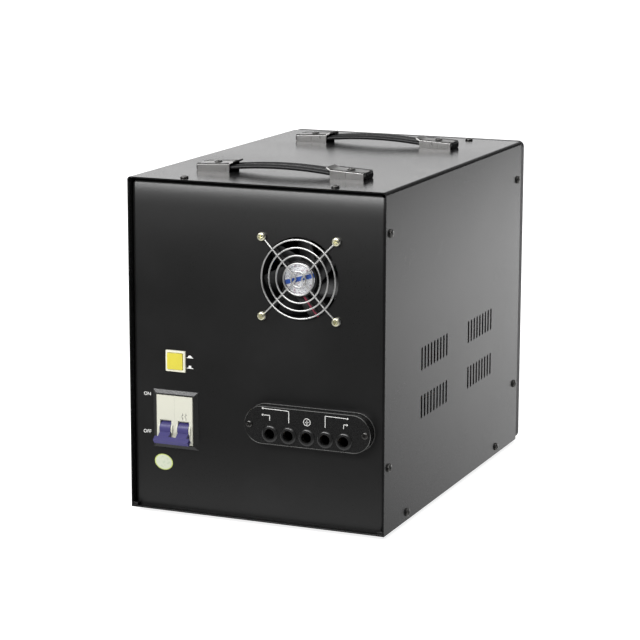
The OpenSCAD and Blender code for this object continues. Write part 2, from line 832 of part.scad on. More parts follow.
module fan_guard() {
    ring_step = guard_r / guard_rings;
    apex_y = wire_d / 6 - guard_rise;
    eye_r = screw_r + fit + wire_d / 2;
    eye = fan_pitch / 2 - eye_r / sqrt(2);
    color([0.8, 0.8, 0.8]) place() translate([fan_x, recess, fan_z]) {
        for (i = [0 : guard_rings - 1]) translate([0, -guard_rise, 0]) rotate([90, 0, 0])
            rotate_extrude() translate([guard_r - i * ring_step, 0]) circle(d = wire_d, $fn = 24);
        for (x = [-1, 1], z = [-1, 1]) {
            wire([x * apex_gap, apex_y, 0], [x * eye, -wire_d / 2, z * eye]);
            translate([x * fan_pitch / 2, -wire_d / 2, z * fan_pitch / 2]) rotate([90, 0, 0])
                rotate_extrude() translate([eye_r, 0]) circle(d = wire_d, $fn = 24);
        }
        for (x = [-1, 1]) translate([x * apex_gap, apex_y, 0]) sphere(r = wire_d * knot_share);
    }
}

module fan_screws() {
    color([0.75, 0.7, 0.45]) place() translate([fan_x, recess - wire_d, fan_z])
        rotate([90, 0, 0]) fan_places()
            pan_screw(screw_r, wire_d + panel_t + fan_flange, head_r, head_h);
}

// Breaker
// Two-pole body with cheeks that stand out of its nose beside each lever
module breaker_body() {
    color([0.88, 0.88, 0.84]) place() difference() {
        translate([breaker_x - breaker_w / 2, 0, 0]) {
            translate([0, nose_y, breaker_z - nose_h / 2]) cube([breaker_w, nose_d + over, nose_h]);
            translate([0, shoulder_y, breaker_z - breaker_h / 2])
                cube([breaker_w, breaker_d, breaker_h]);
            for (s = [-1, 1], e = [-1, 1])
                translate([breaker_w / 2 + s * pole_pitch / 2 + e * (pocket_w + cheek_t) / 2
                    - cheek_t / 2, pivot_y, pivot_z]) along_x(cheek_t) circle(cheek_r);
        }
        for (s = [-1, 1]) translate([breaker_x + s * pole_pitch / 2 - pocket_w / 2, pivot_y, pivot_z]) {
            along_x(pocket_w) circle(pocket_r);
            translate([0, -pivot_d - over, -pocket_r - fit])
                cube([pocket_w, pivot_d / 3 + over, 2 * (pocket_r + fit)]);
        }
        translate([breaker_x - breaker_w / 2 - over, pivot_y, pivot_z])
            along_x(breaker_w + 2 * over) circle(pin_r + run);
        translate([breaker_x - breaker_w / 2 - over, breaker_back - groove_d, breaker_z - rail_h / 2 - fit])
            cube([breaker_w + 2 * over, groove_d + over, rail_h + 2 * fit]);
        for (s = [-1, 1], v = [-1, 1]) translate([breaker_x + s * pole_pitch / 2,
            shoulder_y - over, breaker_z + v * (breaker_h + nose_h) / 4])
                along_y(clamp_screw_d + over) circle(clamp_screw_r);
    }
}

module breaker_frame() {
    w = breaker_w + 2 * (fit + frame_margin);
    h = nose_h + 2 * (fit + frame_margin);
    color([0.12, 0.12, 0.12]) place() translate([breaker_x, recess, breaker_z]) rotate([90, 0, 0])
        difference() {
            frustum(w, h, frame_margin - cap_t, frame_rise);
            translate([0, 0, frame_rise / 2]) cube([breaker_w + 2 * fit, nose_h + 2 * fit,
                frame_rise + 2 * over], center = true);
        }
}

module at_levers() {
    place() translate([breaker_x, pivot_y, pivot_z]) rotate([lever_angle, 0, 0]) children();
}

// Levers: drum, raised face on the drum, arm, and a narrower tip that enters the tie bar
module breaker_levers() {
    k = 2 * drum_face_r;
    color([0.36, 0.33, 0.62]) at_levers() for (s = [-1, 1])
        translate([s * pole_pitch / 2, 0, 0]) difference() {
            union() {
                translate([-lever_w / 2, 0, 0]) along_x(lever_w) {
                    circle(drum_r);
                    intersection() {
                        circle(drum_face_r);
                        polygon([[0, 0], [-k, 0], [-k, k], [-k * tan(90 - drum_face_angle), k]]);
                    }
                }
                translate([-lever_w / 2, -bar_reach + bar_d, -lever_t / 2])
                    cube([lever_w, bar_reach - bar_d, lever_t]);
                translate([-tip_w / 2, -bar_reach + bar_d - tip_d, -lever_t / 4])
                    cube([tip_w, bar_reach - bar_d, lever_t / 2]);
            }
            translate([-lever_w, 0, 0]) along_x(2 * lever_w) circle(pin_r + run);
        }
}

module lever_tie_bar() {
    color([0.36, 0.33, 0.62]) at_levers() difference() {
        translate([-bar_w / 2, -bar_reach, -bar_t / 2]) cube([bar_w, bar_d, bar_t]);
        for (s = [-1, 1]) translate([s * pole_pitch / 2 - tip_w / 2 - run,
            -bar_reach + bar_d - tip_d - run, -lever_t / 4 - run])
                cube([tip_w + 2 * run, bar_d, lever_t / 2 + 2 * run]);
    }
}

module lever_pin() {
    color([0.7, 0.7, 0.7]) place()
        translate([breaker_x - breaker_w / 2, pivot_y, pivot_z]) along_x(breaker_w) circle(pin_r);
}

// Hat section rail behind the breaker, and the two posts that carry it from the panel
module breaker_rail() {
    w = breaker_w + 2 * rail_over;
    inner = rail_h - 2 * rail_lip;
    y = breaker_back - groove_d;
    color([0.7, 0.7, 0.7]) place() translate([breaker_x - w / 2, y, breaker_z]) along_x(w)
        difference() {
            union() {
                translate([0, -rail_h / 2]) square([rail_t, rail_h]);
                translate([0, -inner / 2]) square([rail_d, inner]);
            }
            translate([-over, -inner / 2 + rail_t]) square([rail_d - rail_t + over, inner - 2 * rail_t]);
        }
}

module rail_posts() {
    y = breaker_back - groove_d + rail_d - rail_t;
    color([0.7, 0.7, 0.7]) place() for (s = [-1, 1])
        translate([breaker_x + s * (breaker_w + rail_over) / 2, panel_back, breaker_z])
            along_y(y - panel_back) circle(post_r);
}

// Delay button
module delay_bezel() {
    color([0.92, 0.92, 0.9]) place() translate([delay_x, recess, delay_z]) rotate([90, 0, 0])
        difference() {
            frustum(bezel_w, bezel_w, bezel_t / 2, bezel_t);
            cube([button_w + 2 * fit, button_w + 2 * fit, 2 * bezel_t + over], center = true);
        }
}

module delay_button() {
    front = recess - bezel_t - button_out;
    color([0.88, 0.82, 0.28]) place() translate([delay_x, front, delay_z]) {
        translate([-button_w / 2, 0, -button_w / 2]) cube([button_w, cap_d, button_w]);
        along_y(cap_d + stem_l) circle(stem_r);
    }
}

module delay_switch_body() {
    w = button_w + 2 * (fit + switch_wall);
    pocket = cap_d + button_travel;
    color([0.15, 0.15, 0.15]) place() translate([delay_x, panel_back, delay_z]) difference() {
        translate([-w / 2, 0, -w / 2]) cube([w, switch_d, w]);
        translate([-button_w / 2 - fit, -over, -button_w / 2 - fit])
            cube([button_w + 2 * fit, pocket - bezel_t - button_out + over, button_w + 2 * fit]);
        along_y(switch_d - switch_wall) circle(stem_r + run);
    }
}

// Cable entries
module terminal_cover() {
    color([0.1, 0.1, 0.1]) place() translate([entry_x, recess, entry_z]) rotate([90, 0, 0])
        difference() {
            union() {
                difference() {
                    linear_extrude(entry_d) stadium(entry_w, entry_h);
                    translate([0, 0, -over]) linear_extrude(entry_d - entry_t + over)
                        stadium(entry_w - 2 * entry_t, entry_h - 2 * entry_t);
                }
                for (s = [-1, 1]) translate([s * entry_screws / 2, 0, 0])
                    cylinder(r = boss_r, h = entry_d - entry_t / 2);
            }
            for (s = [-1, 1]) translate([s * entry_screws / 2, 0, -over])
                cylinder(r = entry_screw_r + fit, h = entry_d + 2 * over);
            for (i = [0 : entries - 1]) translate([entry_at(i), -entry_drop, 0])
                cylinder(r = sleeve_r + run, h = entry_d + over);
        }
}

function entry_at(i) = (i - (entries - 1) / 2) * entry_pitch;

module cable_grommets() {
    inner = entry_t + inner_flange_t;
    color([0.08, 0.08, 0.08]) place() translate([entry_x, entry_front, grommet_z])
        rotate([90, 0, 0]) for (i = [0 : entries - 1]) translate([entry_at(i), 0, 0])
            rotate_extrude() polygon([[cable_r, -inner], [inner_flange_r, -inner],
                [inner_flange_r, -entry_t], [sleeve_r, -entry_t], [sleeve_r, 0], [grommet_r, 0],
                [grommet_r, grommet_out - lip_round], [grommet_r - lip_round, grommet_out],
                [cable_r, grommet_out]]);
}

module terminal_cover_screws() {
    color([0.15, 0.15, 0.15]) place() translate([entry_x, entry_front, entry_z])
        rotate([90, 0, 0]) for (s = [-1, 1]) translate([s * entry_screws / 2, 0, 0])
            pan_screw(entry_screw_r, entry_d + screw_l / 2, entry_head_r, head_h * 2 / 3);
}

module terminal_block() {
    w = entries * entry_pitch + 2 * block_wall;
    cell = entry_pitch - block_wall;
    color([0.2, 0.2, 0.2]) place() translate([entry_x, panel_back, grommet_z]) difference() {
        translate([-w / 2, 0, -block_h / 2]) cube([w, block_d, block_h]);
        for (i = [0 : entries - 1]) translate([entry_at(i) - cell / 2, -over, -window_h / 2])
            cube([cell, block_d / 2 + over, window_h]);
    }
}

module terminal_screws() {
    color([0.75, 0.6, 0.3]) place() translate([entry_x, panel_back + block_d / 2, grommet_z])
        for (i = [0 : entries - 1]) translate([entry_at(i), 0, 0]) rotate([90, 0, 0]) {
            translate([-block_screw_r, -window_h / 2 + fit, 0])
                cube([2 * block_screw_r, window_h - 2 * fit, angle_t]);
            translate([0, 0, angle_t / 2]) cylinder(r = block_screw_r, h = angle_t + head_h);
        }
}

// Meters, drawn facing +Z and turned to the display side; side is -1 for the voltmeter, which
// stands left seen from the display side, and 1 for the ammeter
module at_meter(side) {
    place() translate([-side * meter_pitch / 2, display_y, meter_z]) to_display() children();
}

meter_iw = meter_w - 2 * meter_t;
meter_ih = meter_h - 2 * meter_t;
hood_h = meter_ih * hood_share;
needle_z = -meter_ih / 2 + hood_h / 2;
needle_lift = meter_t + dial_t + fit;

module meter_case(side) {
    color([0.1, 0.1, 0.1]) at_meter(side) {
        difference() {
            union() {
                linear_extrude(meter_d) rounded_rect(meter_w, meter_h, meter_t);
                translate([0, 0, -barrel_d]) cylinder(r = barrel_r, h = barrel_d + meter_t / 2);
            }
            translate([-meter_iw / 2, -meter_ih / 2, meter_t])
                cube([meter_iw, meter_ih, meter_d - meter_t - window_t]);
            translate([-meter_iw / 2, -meter_ih / 2 + hood_h, meter_t])
                cube([meter_iw, meter_ih - hood_h, meter_d]);
        }
        translate([0, needle_z, meter_t / 2])
            cylinder(r = needle_pin_r, h = dial_t + needle_hub_t + meter_t);
    }
}

module meter_dial(side) {
    color([0.94, 0.94, 0.9]) at_meter(side) difference() {
        translate([0, 0, meter_t + dial_t / 2])
            cube([meter_iw - 2 * fit, meter_ih - 2 * fit, dial_t], center = true);
        translate([0, needle_z, 0]) cylinder(r = needle_pin_r + fit, h = meter_d);
    }
}

module meter_needle(side) {
    color([0.75, 0.1, 0.08]) at_meter(side) translate([0, needle_z, needle_lift])
        rotate([0, 0, needle_sweep / 2]) difference() {
            union() {
                cylinder(r = needle_hub_r, h = needle_hub_t);
                translate([-needle_w / 2, -needle_tail, needle_hub_t / 2])
                    cube([needle_w, needle_tail + needle_len, needle_t]);
            }
            translate([0, 0, -over]) cylinder(r = needle_pin_r + run, h = meter_d);
        }
}

module meter_window(side) {
    color([0.8, 0.85, 0.88, 0.3]) at_meter(side)
        translate([-meter_iw / 2 + run, -meter_ih / 2 + hood_h + run, meter_d - window_t])
            cube([meter_iw - 2 * run, meter_ih - hood_h - 2 * run, window_t]);
}

module voltmeter_case() { meter_case(-1); }

module voltmeter_dial() { meter_dial(-1); }

module voltmeter_needle() { meter_needle(-1); }

module voltmeter_window() { meter_window(-1); }

module ammeter_case() { meter_case(1); }

module ammeter_dial() { meter_dial(1); }

module ammeter_needle() { meter_needle(1); }

module ammeter_window() { meter_window(1); }

module indicator_lamps() {
    body = recess + fascia_d - rim_d;
    dome = lamp_r * dome_share;
    dome_r = (lamp_r * lamp_r + dome * dome) / (2 * dome);
    color([0.2, 0.7, 0.25]) place() translate([0, display_y, lamp_z]) for (i = [0 : lamps - 1])
        translate([lamp_at(i), 0, 0]) {
            along_y(body) circle(lamp_r);
            translate([0, body - fit, 0]) intersection() {
                along_y(dome + fit) circle(lamp_r);
                translate([0, dome + fit - dome_r, 0]) sphere(r = dome_r);
            }
        }
}

// Regulator: toroidal core and winding on a pad, held by a disc, a stud and a nut
module at_regulator(z) {
    place() translate([0, reg_y, base_t + z]) children();
}

reg_front = trafo_y + core_d / 2 + angle_leg + front_room;
reg_back = display_back - back_room;
wind_ro = min((reg_back - reg_front) / 2, inner_w / 2 - side_room);
wind_ri = wind_ro * bore_share;
reg_y = reg_back - wind_ro;
track_r = wind_ro - track_in;
bridge_x = wind_ro + bridge_out;
disc_r = wind_ri + disc_out;
wind_top = pad_t + wind_h;
arm_z = wind_top + arm_lift;
bridge_z = wind_top + bridge_room;

module regulator_pad() {
    color([0.45, 0.35, 0.25]) at_regulator(0) difference() {
        cylinder(r = wind_ro - section_r, h = pad_t);
        translate([0, 0, -over]) cylinder(r = stud_r + fit, h = pad_t + 2 * over);
    }
}

module regulator_core() {
    color([0.35, 0.36, 0.38]) at_regulator(pad_t) rotate_extrude()
        translate([wind_ri + wind_t + fit, wind_t + fit])
            square([wind_ro - wind_ri - 2 * (wind_t + fit), wind_h - 2 * (wind_t + fit)]);
}

module regulator_winding() {
    color([0.72, 0.4, 0.2]) at_regulator(pad_t) rotate_extrude()
        translate([(wind_ri + wind_ro) / 2, wind_h / 2]) difference() {
            rounded_rect(wind_ro - wind_ri, wind_h, section_r);
            square([wind_ro - wind_ri - 2 * wind_t, wind_h - 2 * wind_t], center = true);
        }
}

module clamp_disc() {
    color([0.65, 0.65, 0.65]) at_regulator(wind_top) difference() {
        cylinder(r = disc_r, h = bridge_t);
        translate([0, 0, -over]) cylinder(r = stud_r + fit, h = bridge_t + 2 * over);
    }
}

module clamp_stud() {
    color([0.7, 0.7, 0.7]) at_regulator(0)
        cylinder(r = stud_r, h = wind_top + bridge_t + nut_h + over);
}

module clamp_nut() {
    color([0.7, 0.7, 0.7]) at_regulator(wind_top + bridge_t) difference() {
        cylinder(r = nut_r, h = nut_h, $fn = 6);
        translate([0, 0, -over]) cylinder(r = stud_r + run, h = nut_h + 2 * over);
    }
}

module brush_arm() {
    holder_w = brush_w + 2 * (holder_t + run);
    holder_l = brush_l + 2 * (holder_t + run);
    color([0.75, 0.72, 0.6]) at_regulator(arm_z) difference() {
        union() {
            cylinder(r = hub_r, h = hub_h);
            translate([-arm_tail, -arm_w / 2, 0])
                cube([arm_tail + track_r + holder_w / 2, arm_w, arm_t]);
            translate([track_r - holder_w / 2, -holder_l / 2, -holder_h])
                cube([holder_w, holder_l, holder_h + arm_t]);
            translate([-arm_tail, 0, 0]) cylinder(r = arm_w / 2, h = arm_t + hub_h / 2);
        }
        translate([0, 0, -over]) cylinder(r = shaft_r + run, h = hub_h + 2 * over);
        translate([track_r - brush_w / 2 - run, -brush_l / 2 - run, -holder_h - over])
            cube([brush_w + 2 * run, brush_l + 2 * run, holder_h + over]);
    }
}

module carbon_brush() {
    color([0.15, 0.15, 0.16]) at_regulator(wind_top + fit)
        translate([track_r - brush_w / 2, -brush_l / 2, 0]) cube([brush_w, brush_l, arm_lift - fit]);
}

module output_shaft() {
    top = bridge_z - arm_z + gear_h / 2;
    color([0.7, 0.7, 0.7]) at_regulator(arm_z) cylinder(r = shaft_r, h = top);
}

// Bridge over the winding that carries the motor, with feet on the base
module motor_bridge() {
    color([0.6, 0.6, 0.6]) at_regulator(0) difference() {
        translate([0, -bridge_w / 2, 0]) along_y(bridge_w) {
            translate([-bridge_x, bridge_z]) square([2 * bridge_x, bridge_t]);
            for (s = [0, 1]) mirror([s, 0]) {
                translate([bridge_x - bridge_t, 0]) square([bridge_t, bridge_z + bridge_t]);
                translate([bridge_x - bridge_t, 0]) square([bridge_foot + bridge_t, bridge_t]);
            }
        }
        translate([0, 0, bridge_z - over]) cylinder(r = 2 * shaft_r, h = bridge_t + 2 * over);
    }
}

module servo_motor() {
    color([0.5, 0.5, 0.5]) at_regulator(bridge_z + bridge_t) difference() {
        union() {
            cylinder(r = gear_r, h = gear_h);
            cylinder(r = motor_r, h = gear_h + motor_h);
            cylinder(r = motor_r / 2, h = gear_h + motor_h + motor_cap_h);
        }
        translate([0, 0, -over]) cylinder(r = shaft_r + run, h = gear_h / 2 + over);
    }
}

// Transformer: core with two windows, coil on the middle limb, two foot angles
limb = core_w * limb_share;
core_h = core_w - limb;
win_h = core_h - 2 * limb;

module at_trafo(z) {
    place() translate([case_w / 2 - trafo_in, trafo_y, base_t + z]) children();
}

module transformer_core() {
    color([0.4, 0.41, 0.43]) at_trafo(0) translate([0, -core_d / 2, 0]) along_y(core_d) difference() {
        translate([-core_w / 2, 0]) square([core_w, core_h]);
        for (s = [0, 1]) mirror([s, 0]) translate([limb, limb]) square([limb, win_h]);
    }
}

module transformer_coil() {
    color([0.7, 0.55, 0.25]) at_trafo(limb + fit) linear_extrude(win_h - 2 * fit) difference() {
        rounded_rect(4 * limb - 2 * fit, core_d + 2 * coil_out, coil_r);
        square([2 * (limb + fit), core_d + 2 * fit], center = true);
    }
}

module transformer_angles() {
    color([0.6, 0.6, 0.6]) at_trafo(0) for (s = [0, 1]) mirror([0, s, 0]) difference() {
        translate([-core_w / 2, core_d / 2, 0]) {
            cube([core_w, angle_leg, angle_t]);
            cube([core_w, angle_t, angle_leg]);
        }
        for (x = [-1, 1]) translate([x * (core_w / 2 - angle_leg / 2),
            core_d / 2 + angle_leg / 2 + angle_t / 2, -over])
                cylinder(r = screw_hole_r, h = angle_t + 2 * over);
    }
}

// Control board behind the display panel, between the winding and the meters' barrels
board_z = base_t + wind_top + board_low_room;
board_h = meter_z - barrel_r - board_top_room - board_z;

module at_board(y) {
    place() translate([0, display_back - spacer_d - y, board_z + board_h / 2]) children();
}

module board_corners() {
    for (x = [-1, 1], z = [-1, 1])
        translate([x * (board_w / 2 - spacer_in), 0, z * (board_h / 2 - spacer_in)]) children();
}

module control_board() {
    color([0.1, 0.35, 0.18]) at_board(board_t) difference() {
        translate([-board_w / 2, 0, -board_h / 2]) cube([board_w, board_t, board_h]);
        board_corners() translate([0, -over, 0]) along_y(board_t + 2 * over) circle(spacer_r / 2);
    }
}

module board_spacers() {
    color([0.75, 0.75, 0.7]) at_board(0) board_corners() along_y(spacer_d) circle(spacer_r);
}

// Board parts: places and sizes as shares of the board, and heights as shares of the tallest
part_shares = [
    [-0.34, 0.1, 0.13, 0.24, 0.87], [-0.16, 0.1, 0.13, 0.24, 0.87], [0.05, 0.06, 0.2, 0.42, 1],
    [0.32, 0.22, 0.2, 0.14, 0.53], [-0.25, -0.3, 0.3, 0.12, 0.47]];
can_shares = [[0.24, -0.24], [0.36, -0.24], [0.12, -0.3]];
can_r_share = 0.08;
can_tall_share = 0.93;

module board_parts() {
    color([0.2, 0.22, 0.5]) at_board(board_t) {
        for (p = part_shares) translate([(p[0] - p[2] / 2) * board_w, -p[4] * part_tall,
            (p[1] - p[3] / 2) * board_h]) cube([p[2] * board_w, p[4] * part_tall, p[3] * board_h]);
        for (p = can_shares)
            translate([p[0] * board_w, -can_tall_share * part_tall, p[1] * board_h])
                along_y(can_tall_share * part_tall) circle(can_r_share * board_h);
    }
}

module output_relay() {
    color([0.25, 0.25, 0.28]) place() translate([relay_in - case_w / 2, relay_y, base_t]) {
        translate([-relay_w / 2, -relay_d / 2, 0]) cube([relay_w, relay_d, relay_h]);
        for (x = [-1, 1], y = [-1, 1]) translate([x * relay_w / 4, y * relay_d / 3, relay_h - over])
            cylinder(r = terminal_r, h = head_h + over);
    }
}

cover();
service_panel();
base_tray();
display_panel();
display_fascia();
rubber_feet();
foot_screws();
cover_screws();
near_strap();
far_strap();
near_handle_caps();
far_handle_caps();
handle_screws();
fan_frame();
fan_rotor();
fan_guard();
fan_screws();
breaker_body();
breaker_frame();
breaker_levers();
lever_tie_bar();
lever_pin();
breaker_rail();
rail_posts();
delay_bezel();
delay_button();
delay_switch_body();
terminal_cover();
cable_grommets();
terminal_cover_screws();
terminal_block();
terminal_screws();
voltmeter_case();
voltmeter_dial();
voltmeter_needle();
voltmeter_window();
ammeter_case();
ammeter_dial();
ammeter_needle();
ammeter_window();
indicator_lamps();
regulator_pad();
regulator_core();
regulator_winding();
clamp_disc();
clamp_stud();
clamp_nut();
brush_arm();
carbon_brush();
output_shaft();
motor_bridge();
servo_motor();
transformer_core();
transformer_coil();
transformer_angles();
control_board();
board_parts();
board_spacers();
output_relay();
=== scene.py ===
"""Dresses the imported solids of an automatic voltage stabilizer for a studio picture.

The solids carry the shapes. This script gives each of them a finish and builds what they leave
plain: bent wire, Phillips recesses, moulded straps, printed lines, dials, a wound core and fan
leads.
Lengths are in millimetres in the case's own frame until a shell is placed: x across, y behind the
cover's service edge, z above the cover's lower edge.
"""

from __future__ import annotations

import json
import logging
import math
from dataclasses import dataclass
from enum import Enum
from typing import Iterable, Mapping, Sequence

import bpy
import numpy as np
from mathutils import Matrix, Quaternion, Vector

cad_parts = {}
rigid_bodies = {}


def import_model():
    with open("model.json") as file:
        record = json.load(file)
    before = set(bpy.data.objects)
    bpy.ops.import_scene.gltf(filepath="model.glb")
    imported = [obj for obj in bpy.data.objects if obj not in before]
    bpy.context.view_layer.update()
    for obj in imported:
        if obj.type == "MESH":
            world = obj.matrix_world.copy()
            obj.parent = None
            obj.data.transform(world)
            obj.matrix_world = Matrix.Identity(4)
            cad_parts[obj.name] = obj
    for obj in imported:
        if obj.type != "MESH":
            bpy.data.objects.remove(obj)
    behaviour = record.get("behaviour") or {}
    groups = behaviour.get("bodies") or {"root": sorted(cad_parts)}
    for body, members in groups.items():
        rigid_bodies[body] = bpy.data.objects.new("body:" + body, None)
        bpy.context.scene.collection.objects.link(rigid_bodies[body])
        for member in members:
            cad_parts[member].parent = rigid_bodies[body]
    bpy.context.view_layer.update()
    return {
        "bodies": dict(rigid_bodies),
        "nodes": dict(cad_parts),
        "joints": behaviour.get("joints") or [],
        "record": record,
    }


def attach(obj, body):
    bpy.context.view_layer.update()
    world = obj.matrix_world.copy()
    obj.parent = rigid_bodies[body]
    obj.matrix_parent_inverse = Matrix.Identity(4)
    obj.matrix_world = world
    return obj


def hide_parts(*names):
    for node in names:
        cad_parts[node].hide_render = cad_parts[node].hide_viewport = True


log = logging.getLogger("stabilizer")

MM = 0.001
CASE = "case"


# Frame and shells


class Facing(Enum):
    """Which way a piece drawn flat, with its outside towards +Z, looks once it is in place."""

    TOP = ((1, 0, 0), (0, 1, 0), (0, 0, 1))
    SERVICE = ((1, 0, 0), (0, 0, 1), (0, -1, 0))
    DISPLAY = ((-1, 0, 0), (0, 0, 1), (0, 1, 0))
    RIGHT = ((0, 1, 0), (0, 0, 1), (1, 0, 0))
    LEFT = ((0, -1, 0), (0, 0, 1), (-1, 0, 0))
    UNDERSIDE = ((1, 0, 0), (0, -1, 0), (0, 0, -1))

    def turn(self, points: np.ndarray) -> np.ndarray:
        """Carries flat points over: each row of the value is where one drawn axis goes."""
        return points @ np.array(self.value, float)


@dataclass(frozen=True)
class CaseFrame:
    """Places the folded case in the row frame."""

    width: float = 250.0
    height: float = 308.0
    depth: float = 376.0
    fascia: float = 9.0
    lever_reach: float = 7.601022
    foot: float = 4.0
    recess: float = 5.0
    sheet: float = 1.5

    @property
    def near_edge(self) -> float:
        """Row-frame y of the cover's service edge: the overall depth is centred."""
        return -(self.depth + self.fascia - self.lever_reach) / 2

    @property
    def roof(self) -> float:
        """Row-frame height in metres of the folded panels' upper edges."""
        return (self.height - self.sheet + self.foot) * MM

    def metres(self, points: np.ndarray) -> np.ndarray:
        """Case millimetres to row-frame metres."""
        return (points + np.array([0.0, self.near_edge, self.foot])) * MM


FRAME = CaseFrame()


@dataclass
class Shell:
    """Points and the faces that join them, in case millimetres."""

    points: np.ndarray
    faces: list[tuple[int, ...]]

    @classmethod
    def loft(cls, rings: np.ndarray, wrap: bool = False) -> Shell:
        """Skins rings of equal count: point m of ring k joins point m of ring k + 1.

        Args:
            rings: Array of shape (rings, points per ring, 3).
            wrap: Joins the last ring to the first. Otherwise one face closes each end ring.

        Returns:
            A closed shell with outward faces.
        """
        count, around, _ = rings.shape
        index = np.arange(count * around).reshape(count, around)
        here = index if wrap else index[:-1]
        there = np.roll(index, -1, axis=0) if wrap else index[1:]
        quads = np.stack([here, np.roll(here, -1, 1), np.roll(there, -1, 1), there], -1)
        faces = [tuple(q) for q in quads.reshape(-1, 4).tolist()]
        if not wrap:
            faces += [tuple(index[0, ::-1].tolist()), tuple(index[-1].tolist())]
        return cls(rings.reshape(-1, 3), faces).outward()

    @classmethod
    def revolve(cls, profile: Sequence[tuple[float, float]], around: int = 64) -> Shell:
        """Turns a closed profile about Z: x is r cos a and y is r sin a.

        Args:
            profile: Radius and height of each corner, every radius above 0.
            around: Points on one ring.

        Returns:
            The ring.
        """
        return cls.loft(np.array([lifted(ellipse(r, r, around), z) for r, z in profile]), wrap=True)

    @classmethod
    def tube(cls, path: np.ndarray, radius: float, sides: int = 12, wrap: bool = False) -> Shell:
        """Carries a circle along a path: each ring stands across the path's own direction.

        The first cross axis is carried on from ring to ring, each time less its part along
        the path, so the tube doesn't twist.

        Args:
            path: Points of the centreline, shape (n, 3).
            radius: The circle's radius.
            sides: Points on one ring.
            wrap: The path is a loop.

        Returns:
            The tube.
        """
        if wrap:
            along = np.roll(path, -1, 0) - np.roll(path, 1, 0)
        else:
            along = np.gradient(path, axis=0)
        along /= np.linalg.norm(along, axis=1, keepdims=True)
        first = np.cross(along[0], [0.3, 0.5, 0.8])
        cross = np.zeros_like(path)
        for i, tangent in enumerate(along):
            first = first - tangent * (first @ tangent)
            first = first / np.linalg.norm(first)
            cross[i] = first
        other = np.cross(along, cross)
        circle = ellipse(radius, radius, sides)[None]
        ring = cross[:, None] * circle[..., :1] + other[:, None] * circle[..., 1:]
        return cls.loft(path[:, None] + ring, wrap=wrap)

    @classmethod
    def prism(cls, outline: np.ndarray, low: float, high: float, edge: float = 0.0,
              steps: int = 3) -> Shell:
        """Raises an outline from low to high and rounds its upper edge.

        The rounded edge follows a quarter circle: the inset is e (1 - cos a) and the
        height is high - e + e sin a.

        Args:
            outline: Corner points (n, 2), anticlockwise.
            low: Height of the base.
            high: Height of the top face.
            edge: Radius of the upper edge.
            steps: Rings in the rounded edge.

        Returns:
            The prism.
        """
        a = np.linspace(0, np.pi / 2, steps + 1) if edge > 0 else np.zeros(1)
        levels = [(0.0, low), *zip(edge * (1 - np.cos(a)), high - edge + edge * np.sin(a))]
        return cls.loft(np.array([lifted(inset(outline, d), z) for d, z in levels]))

    @classmethod
    def join(cls, shells: Iterable[Shell]) -> Shell:
        """Puts several shells into one.

        Args:
            shells: The shells.

        Returns:
            One shell with all their points and faces.
        """
        points: list[np.ndarray] = []
        faces: list[tuple[int, ...]] = []
        start = 0
        for shell in shells:
            points.append(shell.points)
            faces += [tuple(i + start for i in f) for f in shell.faces]
            start += len(shell.points)
        return cls(np.vstack(points), faces)

    def outward(self) -> Shell:
        """Turns all faces round if the signed volume, a sum of tetrahedra, is negative.

        Returns:
            The shell itself.
        """
        volume = 0.0
        for size in {len(f) for f in self.faces}:
            same = np.array([f for f in self.faces if len(f) == size])
            a = self.points[same[:, 0]]
            for k in range(1, size - 1):
                b, c = self.points[same[:, k]], self.points[same[:, k + 1]]
                volume += np.einsum("ij,ij->", a, np.cross(b, c))
        if volume < 0:
            self.faces = [f[::-1] for f in self.faces]
        return self

    def moved(self, x: float = 0.0, y: float = 0.0, z: float = 0.0) -> Shell:
        """A copy shifted by a vector."""
        return Shell(self.points + np.array([x, y, z]), list(self.faces))

    def turned(self, degrees: float) -> Shell:
        """A copy turned about Z."""
        c, s = math.cos(math.radians(degrees)), math.sin(math.radians(degrees))
        return Shell(self.points @ np.array([[c, s, 0], [-s, c, 0], [0, 0, 1]]), list(self.faces))

    def mirrored(self) -> Shell:
        """A copy with left and right exchanged."""
        return Shell(self.points * np.array([-1, 1, 1]), [f[::-1] for f in self.faces])

    def facing(self, way: Facing, at: tuple[float, float, float]) -> Shell:
        """A copy turned to look a way and carried to a place."""
        return Shell(way.turn(self.points) + np.array(at), list(self.faces))

    def on_panel(self, x: float, z: float, out: float = 0.0) -> Shell:
        """A copy on the service panel, out in front of it by a distance."""
        return self.facing(Facing.SERVICE, (x, FRAME.recess - out, z))


def lifted(outline: np.ndarray, z: float) -> np.ndarray:
    """A flat outline at the height z."""
    return np.column_stack([outline, np.full(len(outline), z)])


def inset(outline: np.ndarray, distance: float) -> np.ndarray:
    """Moves each corner of an outline inwards along the mean of its edges' normals.

    Args:
        outline: Corner points (n, 2), anticlockwise.
        distance: How far the edges move.

    Returns:
        The smaller outline.
    """
    if distance == 0:
        return outline.copy()
    ahead = np.roll(outline, -1, 0) - outline
    ahead /= np.maximum(np.linalg.norm(ahead, axis=1, keepdims=True), 1e-9)
    normal = np.column_stack([-ahead[:, 1], ahead[:, 0]])
    both = normal + np.roll(normal, 1, 0)
    return outline + distance * both / np.maximum((both**2).sum(1, keepdims=True) / 2, 0.2)


